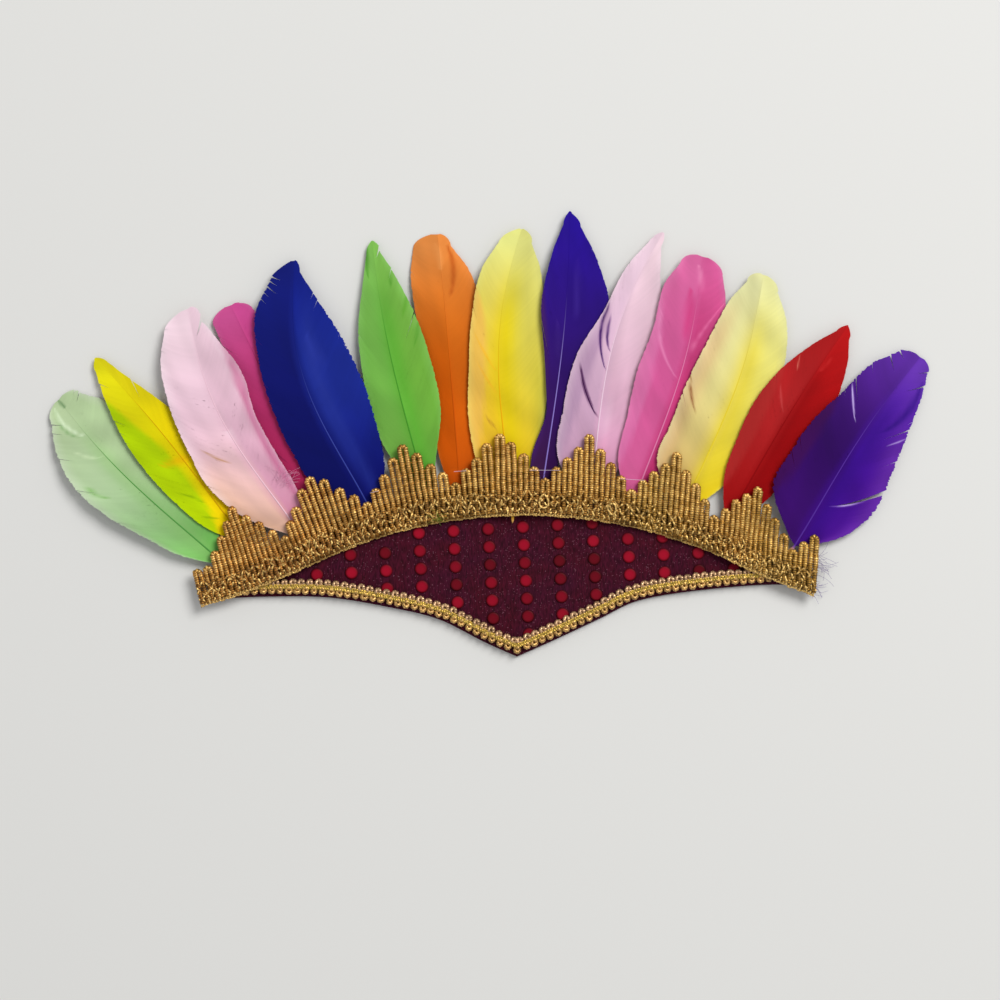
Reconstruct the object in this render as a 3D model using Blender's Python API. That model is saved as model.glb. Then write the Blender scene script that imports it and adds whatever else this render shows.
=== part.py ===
"""Carnival feather headdress, lying flat on its back.

A padded band with a pointed lower edge carries fourteen dyed feathers, a gold lace along its arched
top and a gold braid along its lower edge. Metres, +X to the wearer's left as the front is seen,
+Y up the feathers, +Z out of the front. The band's flat back is at Z = 0.
"""
import math

import bmesh
import bpy
import numpy as np
from mathutils import Vector

# Clearance between pieces that rest on each other
GAP = 0.0003

# Band: a pad with an arched top and a pointed lower edge
PAD_THICKNESS = 0.0026
POINT_X = -0.0019
POINT_Y = -0.037
POINT_DEPTH = 0.035
LEFT_ARM = 0.150
RIGHT_ARM = 0.1416
BAND_TOP = 0.015
BAND_TOP_LEFT = 0.153
BAND_TOP_RIGHT = 0.137

# Lower edge of each arm: share of the arm's length, share of the point's depth
LEFT_EDGE = {"along": (0.0, 0.1, 0.25, 0.4, 0.6, 0.8, 1.0),
             "rise": (0.0, 0.19, 0.51, 0.67, 0.81, 0.825, 0.785)}
RIGHT_EDGE = {"along": (0.0, 0.13, 0.29, 0.39, 0.5, 0.7, 0.88, 1.0),
              "rise": (0.0, 0.235, 0.54, 0.74, 0.845, 0.945, 0.99, 0.95)}

# The lace's foot follows an arc that flattens towards both ends
ARC_X = 0.0019
ARC_TOP_Y = 0.031
ARC_RADIUS = 0.233
ARC_HALF = 0.105
END_RADIUS = 0.340

# Sequins: round foils in slanting columns
SEQUIN_DIAMETER = 0.006
SEQUIN_RAISE = 0.0003
SEQUIN_SIDES = 10
SEQUIN_COLUMN = 0.0167
SEQUIN_ROW = 0.0086
SEQUIN_TURN = math.radians(3.3)
SEQUIN_START_X = 0.0019
SEQUIN_START_Y = 0.0082

# Braid along the lower edge
BRAID_WIDTH = 0.0072
BRAID_INSET = 0.0013
BRAID_PITCH = 0.0041
BRAID_EDGE = 0.0014
BRAID_CROWN = 0.0022
BRAID_CORE = 0.0018
BRAID_NOTCH = 0.78
BRAID_END = 0.004

# Lace: a foot band with cord loops standing on it in scallops
LACE_FOOT = 0.014
LACE_THICKNESS = 0.0015
LACE_LOOP = 0.00515
LACE_CORD = 0.00175
LACE_FIRST_LOOP = -33
LACE_LAST_LOOP = 26
LOOPS_PER_SCALLOP = 8
VALLEY_PLACE = 0.0096
LACE_VALLEY = 0.018
LACE_PEAK = 0.040
LEFT_LEAN = 0.8
RIGHT_LEAN = 0.2
DRAPE_STEP = 0.0025
DRAPE_EDGES = 4

# Feathers
FEATHER_LENGTH = 0.125
FEATHER_HALF = 0.020
FEATHER_SPAN = 0.150
VANE_THICKNESS = 0.0008
VANE_TILT = 0.08
BOW_SKEW = 1.25
QUILL_RADIUS = 0.0010
QUILL_TIP = 0.0003
QUILL_SEAT = 0.004
QUILL_TAIL = 0.004
FLAT_REACH = 0.025
CREST_REACH = 0.115
CREST_RISE = 0.0022
CREST_DROP = 0.0028

# Where along a vane its half widths are given, and where the solid has its sections
WIDTH_PLACES = (0.15, 0.32, 0.5, 0.68, 0.85, 0.95)
SECTION_PLACES = (0.02, 0.1, 0.2, 0.32, 0.45, 0.58, 0.72, 0.84, 0.93, 0.98, 1.0)

# One row for each feather: its foot along the band (share of FEATHER_SPAN) and up the lace (share of
# LACE_PEAK), its lean in degrees, its length (share of FEATHER_LENGTH), its bow (share of its own
# length), how each side tilts (+1 over its neighbour, -1 under it), its lift and its tip's rise (shares
# of VANE_THICKNESS), its half widths (shares of FEATHER_HALF) and its dye
FEATHER_COLUMNS = ("name", "along", "up", "lean", "length", "bow", "left_tilt", "right_tilt", "lift",
                   "tip_rise", "left", "right", "dye")
FEATHERS = (
    ("feather_01_mint", -0.977, 0.44, -45.3, 0.89, -0.029, 1, -1, 0.0, -1.6,
     (0.55, 0.79, 1.01, 1.07, 0.82, 0.48), (0.63, 0.96, 1.10, 1.01, 0.86, 0.53), (0.40, 0.60, 0.33)),
    ("feather_02_lime", -0.877, 0.59, -39.5, 0.911, 0.018, 1, -1, 0.0, 0.6,
     (0.57, 0.79, 0.88, 0.77, 0.48, 0.22), (0.60, 0.66, 0.65, 0.47, 0.25, 0.15), (0.75, 0.68, 0.01)),
    ("feather_03_blush", -0.697, 0.37, -26.4, 0.977, -0.075, 1, 1, 0.9, 1.6,
     (0.83, 1.13, 1.07, 1.02, 0.93, 0.70), (0.54, 0.68, 0.77, 0.92, 0.54, 0.26), (0.83, 0.58, 0.68)),
    ("feather_04_magenta", -0.627, 0.38, -22.6, 0.919, 0.017, -1, -1, 0.0, -0.4,
     (0.34, 0.57, 0.69, 0.67, 0.61, 0.59), (0.37, 0.43, 0.45, 0.52, 0.59, 0.44), (0.55, 0.05, 0.21)),
    ("feather_05_blue", -0.473, 0.29, -17.0, 1.024, -0.096, 1, 1, 0.4, 2.2,
     (0.89, 0.99, 0.96, 0.95, 0.94, 0.59), (0.80, 1.17, 1.33, 1.12, 0.56, 0.16), (0.01, 0.01, 0.24)),
    ("feather_06_green", -0.297, 0.30, -12.2, 1.022, -0.023, -1, 1, 0.0, 0.4,
     (0.54, 0.79, 0.76, 0.64, 0.35, 0.18), (0.45, 0.86, 0.93, 0.79, 0.45, 0.16), (0.19, 0.55, 0.08)),
    ("feather_07_orange", -0.197, 0.235, -5.1, 1.03, 0.004, -1, -1, 0.0, -1.3,
     (0.42, 0.52, 0.60, 0.71, 0.75, 0.63), (0.51, 0.71, 0.86, 0.91, 0.68, 0.29), (0.68, 0.18, 0.02)),
    ("feather_08_yellow", -0.039, 0.01, 1.8, 1.102, -0.067, 1, -1, 0.0, 0.8,
     (0.68, 0.81, 0.72, 0.71, 0.69, 0.45), (0.51, 0.99, 1.19, 1.08, 0.75, 0.34), (0.80, 0.68, 0.05)),
    ("feather_09_violet", 0.047, 0.13, 5.8, 1.138, 0.021, 1, -1, 0.4, 2.4,
     (0.36, 0.17, 0.40, 0.60, 0.40, 0.15), (0.30, 0.53, 0.80, 1.06, 0.67, 0.27), (0.03, 0.01, 0.26)),
    ("feather_10_pink", 0.199, 0.11, 15.2, 1.11, -0.068, 1, -1, 0.0, 0.8,
     (0.90, 0.90, 0.80, 0.46, 0.38, 0.20), (0.55, 0.91, 1.09, 1.00, 0.46, 0.13), (0.80, 0.55, 0.70)),
    ("feather_11_rose", 0.333, 0.265, 15.7, 0.994, 0.041, 1, -1, 0.0, 1.4,
     (0.71, 0.89, 1.03, 0.93, 0.86, 0.53), (0.37, 0.57, 0.69, 0.73, 0.70, 0.54), (0.70, 0.10, 0.35)),
    ("feather_12_cream", 0.483, 0.34, 19.0, 0.966, 0.042, 1, -1, 0.0, 0.8,
     (1.03, 1.13, 1.16, 1.00, 0.73, 0.38), (0.66, 0.82, 0.88, 0.95, 0.76, 0.42), (0.80, 0.75, 0.25)),
    ("feather_13_red", 0.62, 0.44, 31.8, 0.882, -0.016, 1, -1, 0.0, 0.2,
     (0.60, 0.79, 0.88, 0.75, 0.43, 0.15), (0.55, 0.76, 0.84, 0.81, 0.53, 0.21), (0.38, 0.01, 0.01)),
    ("feather_14_purple", 0.852, 0.49, 33.9, 0.874, -0.027, 1, -1, 0.0, -1.9,
     (1.17, 1.26, 1.20, 0.98, 0.84, 0.54), (0.90, 1.25, 1.13, 0.92, 0.65, 0.40), (0.06, 0.01, 0.30)),
)

PANEL_LOOK = {"color": (0.045, 0.006, 0.018), "roughness": 0.6, "metallic": 0.0}
GOLD_LOOK = {"color": (0.42, 0.22, 0.04), "roughness": 0.35, "metallic": 1.0}
BRAID_LOOK = {"color": (0.55, 0.33, 0.08), "roughness": 0.35, "metallic": 1.0}
FEATHER_ROUGHNESS = 0.55


def smooth(places, values, at):
    """Reads a short table at one place, along cubic pieces whose slopes come from the neighbours."""
    places = [float(p) for p in places]
    at = min(max(at, places[0]), places[-1])
    last = len(places) - 1
    i = max(k for k in range(last) if places[k] <= at)
    step = places[i + 1] - places[i]

    def slope(k):
        low = max(k - 1, 0)
        high = min(k + 1, last)
        return (values[high] - values[low]) / (places[high] - places[low])

    t = (at - places[i]) / step
    return ((2 * t ** 3 - 3 * t ** 2 + 1) * values[i] + (t ** 3 - 2 * t ** 2 + t) * step * slope(i)
            + (3 * t ** 2 - 2 * t ** 3) * values[i + 1] + (t ** 3 - t ** 2) * step * slope(i + 1))


def arc_point(s):
    """The lace's foot line at arc length s from its middle: its point and its angle from level."""
    side = 1.0 if s >= 0 else -1.0
    run = abs(s)
    turn = min(run, ARC_HALF) / ARC_RADIUS
    x = ARC_RADIUS * math.sin(turn)
    drop = ARC_RADIUS * (1 - math.cos(turn))
    if run > ARC_HALF:
        end_turn = turn - (run - ARC_HALF) / END_RADIUS
        x += END_RADIUS * (math.sin(turn) - math.sin(end_turn))
        drop += END_RADIUS * (math.cos(end_turn) - math.cos(turn))
        turn = end_turn
    return Vector((ARC_X + side * x, ARC_TOP_Y - drop)), side * turn


def above_arc(s, height):
    """The point square above the foot line at arc length s."""
    point, turn = arc_point(s)
    return point + height * Vector((math.sin(turn), math.cos(turn)))


def lower_edge(u):
    """The band's lower edge, from its left end at u = -1 through the point at 0 to the right end at 1."""
    table = LEFT_EDGE if u < 0 else RIGHT_EDGE
    arm = LEFT_ARM if u < 0 else RIGHT_ARM
    rise = smooth(table["along"], table["rise"], abs(u))
    return Vector((POINT_X + u * arm, POINT_Y + POINT_DEPTH * rise))


def edge_line(steps):
    """Points along the lower edge, evenly spaced on each arm, with one exactly at the point."""
    return [lower_edge(k / steps) for k in range(-steps, steps + 1)]


def offset_line(line, inset):
    """The line moved to its left by inset, mitred at corners."""
    moved = []
    for k, point in enumerate(line):
        before = (point - line[max(k - 1, 0)])
        after = (line[min(k + 1, len(line) - 1)] - point)
        before = before if before.length > 0 else after
        after = after if after.length > 0 else before
        normal = (before.normalized() + after.normalized()).normalized().orthogonal()
        reach = inset / max(normal.dot(after.normalized().orthogonal()), 0.5)
        moved.append(point + reach * normal)
    return moved


EDGE_STEPS = 24
PANEL_EDGE = edge_line(EDGE_STEPS)
BRAID_MIDDLE = offset_line(PANEL_EDGE, BRAID_INSET + BRAID_WIDTH / 2)
BRAID_BOTTOM = PAD_THICKNESS + SEQUIN_RAISE + GAP


def distance_to_line(point, line):
    """The shortest distance from a point to a run of points."""
    best = math.inf
    for a, b in zip(line, line[1:]):
        along = b - a
        share = min(max((point - a).dot(along) / along.length_squared, 0.0), 1.0)
        best = min(best, (point - a - share * along).length)
    return best


def link(name, mesh, look):
    """One named object with its own plain material."""
    material = bpy.data.materials.new(name)
    material.use_nodes = True
    shader = material.node_tree.nodes["Principled BSDF"]
    shader.inputs["Base Color"].default_value = (*look["color"], 1.0)
    shader.inputs["Roughness"].default_value = look["roughness"]
    shader.inputs["Metallic"].default_value = look["metallic"]
    mesh.materials.append(material)
    obj = bpy.data.objects.new(name, mesh)
    bpy.context.scene.collection.objects.link(obj)
    return obj


def mesh_from(name, points, faces):
    """A mesh from points and faces, with every face turned outwards."""
    mesh = bpy.data.meshes.new(name)
    mesh.from_pydata([tuple(p) for p in points], [], faces)
    shape = bmesh.new()
    shape.from_mesh(mesh)
    bmesh.ops.recalc_face_normals(shape, faces=shape.faces)
    shape.to_mesh(mesh)
    shape.free()
    return mesh


def prism(name, outline, low, high):
    """An upright solid on a closed outline."""
    count = len(outline)
    points = [(p[0], p[1], low) for p in outline] + [(p[0], p[1], high) for p in outline]
    faces = [list(range(count))[::-1], list(range(count, 2 * count))]
    faces += [[k, (k + 1) % count, (k + 1) % count + count, k + count] for k in range(count)]
    return mesh_from(name, points, faces)


class Feather:
    """One row of the feather table, with the sizes that follow from it."""

    def __init__(self, row):
        self.row = dict(zip(FEATHER_COLUMNS, row))
        s = self.row["along"] * FEATHER_SPAN
        up = self.row["up"] * LACE_PEAK
        self.root = above_arc(s, up)
        self.length = self.row["length"] * FEATHER_LENGTH
        self.bow = self.row["bow"] * self.length
        lean = math.radians(self.row["lean"])
        self.axis = Vector((math.sin(lean), math.cos(lean)))
        self.across = Vector((self.axis.y, -self.axis.x))
        self.lift = self.row["lift"] * VANE_THICKNESS
        self.tip_rise = self.row["tip_rise"] * VANE_THICKNESS
        self.tail = self.tail_length(up)

    def tail_length(self, up):
        """How far the bare quill runs down the band, to its seat or to just above the braid."""
        wanted = max(up - QUILL_SEAT, QUILL_TAIL)
        limit = BRAID_WIDTH / 2 + QUILL_RADIUS + 2 * GAP
        step = wanted / 12
        length = step
        while length < wanted:
            end = self.root - (length + step) * self.axis
            if distance_to_line(end, BRAID_MIDDLE) < limit:
                break
            length += step
        return length

    def side(self, t):
        """How far the quill stands off the straight line from foot to tip."""
        return self.bow * math.sin(math.pi * max(t, 0.0) ** BOW_SKEW)

    def half_width(self, t, key):
        """Half width of one side of the vane, closing in a round tip and starting at the quill."""
        table = self.row[key]
        places = (0.0,) + WIDTH_PLACES
        values = (0.1,) + table
        last = WIDTH_PLACES[-1]
        width = smooth(places, values, t) * FEATHER_HALF
        if t > last:
            width *= math.sqrt(max(1 - ((t - last) / (1 - last)) ** 2, 0.0))
        return max(width, QUILL_RADIUS * 0.6)

    def quill(self, t):
        """Radius of the quill."""
        return QUILL_RADIUS + (QUILL_TIP - QUILL_RADIUS) * min(max(t, 0.0), 1.0)

    def place(self, t, offset):
        """Point of the vane at share t of its length and an offset to the right of its quill."""
        return self.root + t * self.length * self.axis + (self.side(t) + offset) * self.across

    def rest_height(self, point, t, offset):
        """Height of the vane's middle surface: one crest for all, and this one's tilt and lift."""
        tilt = self.row["left_tilt"] if offset < 0 else self.row["right_tilt"]
        bend = self.tip_rise * max(t, 0.0) ** 3
        return crest(point) + self.lift + bend + tilt * VANE_TILT * abs(offset)

    def top_at(self, point):
        """Height of this feather's upper side over a point, or None beside the feather."""
        way = point - self.root
        t = way.dot(self.axis) / self.length
        if t < -self.tail / self.length or t > 1:
            return None
        offset = way.dot(self.across) - self.side(t)
        width = self.half_width(t, "left" if offset < 0 else "right") if t > 0 else QUILL_RADIUS
        if abs(offset) > width:
            return None
        return self.rest_height(point, t, offset) + QUILL_RADIUS


def crest(point):
    """Height shared by all the feathers: level on the band, then a low hump, then down to the tips."""
    centre = Vector((ARC_X, ARC_TOP_Y - ARC_RADIUS))
    reach = (point - centre).length - ARC_RADIUS
    level = PAD_THICKNESS + SEQUIN_RAISE + GAP + QUILL_RADIUS
    t = max(reach - FLAT_REACH, 0.0) / CREST_REACH
    return level + CREST_RISE * 4 * t * (1 - t) - CREST_DROP * t * t


def section(feather, t, offsets):
    """A closed ring across a feather from pairs of offset and height off the middle surface."""
    ring = []
    for offset, height in offsets:
        point = feather.place(t, offset)
        ring.append((point.x, point.y, feather.rest_height(point, t, offset) + height))
    return ring


def quill_ring(feather, t):
    """The bare quill, eight-sided with two extra points that the vane grows from."""
    r = feather.quill(t)
    return section(feather, t, ((-r, 0.35 * r), (-0.8 * r, 0.7 * r), (-0.35 * r, r), (0.35 * r, r),
                                (0.8 * r, 0.7 * r), (r, 0.35 * r), (r, -0.35 * r), (0.5 * r, -r),
                                (-0.5 * r, -r), (-r, -0.35 * r)))


def vane_ring(feather, t):
    """The vane with the quill as a ridge along it."""
    left = feather.half_width(t, "left")
    right = feather.half_width(t, "right")
    r = min(feather.quill(t), 0.6 * left, 0.6 * right)
    half = VANE_THICKNESS / 2
    ridge = half + 0.5 * r
    return section(feather, t, ((-left, half), (-r, half), (-0.45 * r, ridge), (0.45 * r, ridge),
                                (r, half), (right, half), (right, -half), (0.6 * r, -half),
                                (-0.6 * r, -half), (-left, -half)))


def make_feather(feather):
    """A vane and its quill in one solid."""
    tail = feather.tail / feather.length
    rings = [quill_ring(feather, -tail)]
    rings += [vane_ring(feather, t) for t in SECTION_PLACES]
    count = len(rings[0])
    points = [p for ring in rings for p in ring]
    faces = [list(range(count)), list(range(len(points) - count, len(points)))[::-1]]
    for i in range(len(rings) - 1):
        for k in range(count):
            a = i * count + k
            b = i * count + (k + 1) % count
            faces.append([a, b, b + count, a + count])
    look = {"color": feather.row["dye"], "roughness": FEATHER_ROUGHNESS, "metallic": 0.0}
    return link(feather.row["name"], mesh_from(feather.row["name"], points, faces), look)


def panel_outline():
    """The band's outline: the pointed lower edge, then back along the arched top."""
    steps = 30
    span = BAND_TOP_LEFT + BAND_TOP_RIGHT
    top = [above_arc(BAND_TOP_RIGHT - span * k / steps, BAND_TOP) for k in range(steps + 1)]
    return PANEL_EDGE + top


def sequin_places():
    """Sequin centres that show between the lace's foot and the braid."""
    across = Vector((math.cos(SEQUIN_TURN), math.sin(SEQUIN_TURN)))
    up = Vector((-across.y, across.x))
    start = Vector((SEQUIN_START_X, SEQUIN_START_Y))
    clear = BRAID_WIDTH / 2 + SEQUIN_DIAMETER * 0.35
    columns = int(LEFT_ARM / SEQUIN_COLUMN)
    rows = int(POINT_DEPTH * 2 / SEQUIN_ROW)
    kept = []
    for column in range(-columns, columns + 1):
        for row in range(-rows, rows + 1):
            place = start + column * SEQUIN_COLUMN * across + row * SEQUIN_ROW * up
            centre = Vector((ARC_X, ARC_TOP_Y - ARC_RADIUS))
            under_foot = (place - centre).length - ARC_RADIUS
            inside = abs(place.x - POINT_X) < 0.75 * LEFT_ARM and place.y > edge_height(place.x)
            if inside and under_foot < 0 and distance_to_line(place, BRAID_MIDDLE) > clear:
                kept.append(place)
    return kept


def edge_height(x):
    """Y of the band's lower edge at x."""
    arm = LEFT_ARM if x < POINT_X else RIGHT_ARM
    return lower_edge((x - POINT_X) / arm).y


def make_panel():
    """The pad with its sequins joined to it as low discs."""
    panel = link("front_panel", prism("front_panel", panel_outline(), 0.0, PAD_THICKNESS), PANEL_LOOK)
    discs = bmesh.new()
    sink = PAD_THICKNESS / 2
    for place in sequin_places():
        made = bmesh.ops.create_cone(discs, cap_ends=True, segments=SEQUIN_SIDES,
                                     radius1=SEQUIN_DIAMETER / 2, radius2=SEQUIN_DIAMETER / 2,
                                     depth=sink + SEQUIN_RAISE)
        middle = PAD_THICKNESS + SEQUIN_RAISE - (sink + SEQUIN_RAISE) / 2
        bmesh.ops.translate(discs, verts=made["verts"], vec=(place.x, place.y, middle))
    mesh = bpy.data.meshes.new("sequin_discs")
    discs.to_mesh(mesh)
    discs.free()
    cutter = bpy.data.objects.new("sequin_discs", mesh)
    bpy.context.scene.collection.objects.link(cutter)
    cutter.hide_render = True
    cutter.display_type = "WIRE"
    union = panel.modifiers.new("sequins", "BOOLEAN")
    union.operation = "UNION"
    union.solver = "EXACT"
    union.object = cutter
    return panel


def resample(line, pitch):
    """The line again with an even number of equal steps on each side of its lowest point."""
    low = min(range(len(line)), key=lambda k: line[k].y)
    out = []
    for piece in (line[:low + 1], line[low:]):
        runs = [0.0]
        for a, b in zip(piece, piece[1:]):
            runs.append(runs[-1] + (b - a).length)
        steps = max(2 * round(runs[-1] / pitch), 2)
        for k in range(steps + 1):
            at = runs[-1] * k / steps
            i = min(max(j for j in range(len(runs)) if runs[j] <= at), len(piece) - 2)
            share = (at - runs[i]) / (runs[i + 1] - runs[i])
            out.append(piece[i].lerp(piece[i + 1], share))
        if len(out) == steps + 1:
            out.pop()
    return out


def make_braid():
    """The braid: a raised core between two scalloped edges, one scallop for each ring of cord."""
    line = resample(BRAID_MIDDLE, BRAID_PITCH)
    ends = int(BRAID_END / BRAID_PITCH * 2)
    line = line[ends:len(line) - ends]
    rings = []
    for k, point in enumerate(line):
        before = line[max(k - 1, 0)]
        after = line[min(k + 1, len(line) - 1)]
        normal = (after - before).normalized().orthogonal()
        corner = ((point - before).normalized() + (after - point).normalized()).length / 2
        half = BRAID_WIDTH / 2 * (1.0 if k % 2 else BRAID_NOTCH)
        if 0 < k < len(line) - 1:
            half /= corner
        core = BRAID_CORE / 2
        low = BRAID_BOTTOM
        profile = ((-half, low), (half, low), (half, low + BRAID_EDGE), (core, low + BRAID_CROWN),
                   (-core, low + BRAID_CROWN), (-half, low + BRAID_EDGE))
        rings.append([(point.x + off * normal.x, point.y + off * normal.y, z) for off, z in profile])
    count = len(rings[0])
    points = [p for ring in rings for p in ring]
    faces = [list(range(count)), list(range(len(points) - count, len(points)))[::-1]]
    for i in range(len(rings) - 1):
        for k in range(count):
            a = i * count + k
            b = i * count + (k + 1) % count
            faces.append([a, b, b + count, a + count])
    return link("edge_gimp", mesh_from("edge_gimp", points, faces), BRAID_LOOK)


def lean_point(s, height):
    """A point of the lace: up from its foot line along the loops' own lean."""
    point, turn = arc_point(s)
    lean = turn * (LEFT_LEAN if s < 0 else RIGHT_LEAN)
    return point + height * Vector((math.sin(lean), math.cos(lean)))


def loop_height(k):
    """Height of loop k: scallops that rise evenly from each valley loop to the peak loop."""
    half = LOOPS_PER_SCALLOP / 2
    share = 1 - abs(k % LOOPS_PER_SCALLOP - half) / half
    return LACE_VALLEY + (LACE_PEAK - LACE_VALLEY) * share


def cover_top(point, feathers):
    """Top of what lies under one point of the lace: the pad, the braid or the highest feather."""
    top = PAD_THICKNESS + SEQUIN_RAISE
    if point.y < edge_height(point.x) + BRAID_INSET + BRAID_WIDTH + DRAPE_STEP:
        top = BRAID_BOTTOM + BRAID_CROWN
    heights = [feather.top_at(point) for feather in feathers]
    return max([top] + [height for height in heights if height is not None])


def lace_columns():
    """The lace's columns from left to right: two legs of cord for each loop, a slot and a gap."""
    slot = LACE_LOOP / 2 - LACE_CORD
    columns = []
    for k in range(LACE_FIRST_LOOP, LACE_LAST_LOOP + 1):
        start = VALLEY_PLACE + k * LACE_LOOP - LACE_CORD - slot / 2
        columns += [(k, "leg", start), (k, "slot", start + LACE_CORD),
                    (k, "leg", start + LACE_CORD + slot), (k, "gap", start + 2 * LACE_CORD + slot)]
    columns.pop()
    return columns


def make_lace(feathers):
    """The lace as filled cells of a grid laid over the feathers: a foot band, legs and loop heads."""
    columns = lace_columns()
    ends = [c[2] for c in columns] + [columns[-1][2] + LACE_CORD]
    steps = int(LACE_PEAK / DRAPE_STEP) + 2
    tops = np.array([[cover_top(lean_point(s, k * DRAPE_STEP), feathers) for k in range(steps)]
                     for s in ends])
    points = []
    index = {}

    def level_height(level, loop):
        """Height of a grid level: foot line, top of the foot, mid leg, under the head, top."""
        head = loop_height(loop)
        under = head - LACE_CORD
        return (0.0, LACE_FOOT, (LACE_FOOT + under) / 2, under, head)[level]

    def drape(edge, level, loop):
        """Clears everything under the cells that meet at this corner, with its steps smoothed out."""
        low = level_height(max(level - 1, 0), loop)
        high = level_height(min(level + 1, 4), loop)
        first = max(int(low / DRAPE_STEP) - 1, 0)
        last = int(high / DRAPE_STEP) + 2
        highest = tops[:, first:last].max(axis=1)
        near = range(max(edge - DRAPE_EDGES, 0), min(edge + DRAPE_EDGES + 1, len(highest)))
        widest = [highest[max(k - DRAPE_EDGES, 0):k + DRAPE_EDGES + 1].max() for k in near]
        return sum(widest) / len(widest) + GAP

    def corner(edge, level, loop):
        """Index of the lower point at one grid corner, with the upper one after it."""
        key = (edge, level, loop if level > 1 else None)
        if key not in index:
            place = lean_point(ends[edge], level_height(level, loop))
            index[key] = len(points)
            z = drape(edge, level, loop)
            points.append((place.x, place.y, z))
            points.append((place.x, place.y, z + LACE_THICKNESS))
        return index[key]

    filled = {"leg": (0, 1, 2, 3), "slot": (0, 3), "gap": (0,)}
    faces = []
    edges = {}
    for number, (loop, kind, _) in enumerate(columns):
        for level in filled[kind]:
            ring = [corner(number, level, loop), corner(number + 1, level, loop),
                    corner(number + 1, level + 1, loop), corner(number, level + 1, loop)]
            faces.append([i + 1 for i in ring])
            faces.append(ring[::-1])
            for a, b in zip(ring, ring[1:] + ring[:1]):
                edges[(a, b)] = True
    for a, b in edges:
        if (b, a) not in edges:
            faces.append([a, b, b + 1, a + 1])
    return link("crown_lace", mesh_from("crown_lace", points, faces), GOLD_LOOK)


def main():
    """Clears the scene and builds every piece."""
    for obj in list(bpy.data.objects):
        bpy.data.objects.remove(obj)
    feathers = [Feather(row) for row in FEATHERS]
    make_panel()
    make_braid()
    for feather in feathers:
        make_feather(feather)
    make_lace(feathers)


main()
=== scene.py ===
# %% [markdown]
# # A carnival feather headdress
#
# The headdress lies flat on a pale cloth and is seen from straight above: a padded maroon band with
# red sequins, a gold gimp along its pointed lower edge, a scalloped gold lace along its arched top, and
# fourteen dyed feathers held under the lace. Each step below makes one of these from arrays, and lays
# it where the solid model has the same piece.

# %% Load the frame
import math

import bpy
import numpy as np
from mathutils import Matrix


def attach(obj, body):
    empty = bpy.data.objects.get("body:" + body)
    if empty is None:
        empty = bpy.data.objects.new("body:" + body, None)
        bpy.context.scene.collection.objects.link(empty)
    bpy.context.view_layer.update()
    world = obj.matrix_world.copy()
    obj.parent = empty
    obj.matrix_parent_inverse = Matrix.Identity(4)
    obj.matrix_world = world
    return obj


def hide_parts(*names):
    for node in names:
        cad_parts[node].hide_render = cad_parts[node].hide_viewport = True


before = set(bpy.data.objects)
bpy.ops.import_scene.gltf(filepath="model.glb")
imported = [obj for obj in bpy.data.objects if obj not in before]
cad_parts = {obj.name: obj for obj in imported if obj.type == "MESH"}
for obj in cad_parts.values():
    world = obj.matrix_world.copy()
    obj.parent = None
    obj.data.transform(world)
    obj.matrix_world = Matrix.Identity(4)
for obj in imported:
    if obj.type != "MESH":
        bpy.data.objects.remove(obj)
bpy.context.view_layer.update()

# %% [markdown]
# ## One way to make a mesh
#
# Every piece here is computed as whole arrays: a stack of points and a stack of faces. Blender takes
# both in one call each, which is far quicker than adding points one by one. Colours that change over
# a piece, painted shade and highlights among them, are worked out in the same arrays, and go along as
# an attribute that the material reads.


# %% Colours, heights and faces as arrays
def linear(rgb):
    """Shown colour from 0 to 255, made linear light: ((c / 255 + 0.055) / 1.055) to the power 2.4."""
    c = np.asarray(rgb, float) / 255
    return np.where(c > 0.04045, ((c + 0.055) / 1.055) ** 2.4, c / 12.92)


def raised(flat, z):
    """Points in space: x and y from flat, at the heights z."""
    return np.concatenate([flat, z[..., None]], -1)


def grid_faces(lines, rings, sides):
    """Faces of many tubes: lines tubes of rings rings of sides points, each closed by its end faces."""
    ring, side = np.meshgrid(np.arange(rings - 1), np.arange(sides), indexing="ij")
    after = (side + 1) % sides
    one = np.stack([ring * sides + side, ring * sides + after,
                    (ring + 1) * sides + after, (ring + 1) * sides + side], -1).reshape(-1, 4)
    starts = np.arange(lines)[:, None, None] * rings * sides
    walls = (one[None] + starts).reshape(-1, 4)
    fan = np.stack([np.zeros(sides - 2, int), np.arange(1, sides - 1), np.arange(2, sides)], -1)
    near = (fan[:, ::-1][None] + starts).reshape(-1, 3)
    far = (fan[None] + starts + (rings - 1) * sides).reshape(-1, 3)
    return [walls, near, far]


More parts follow.
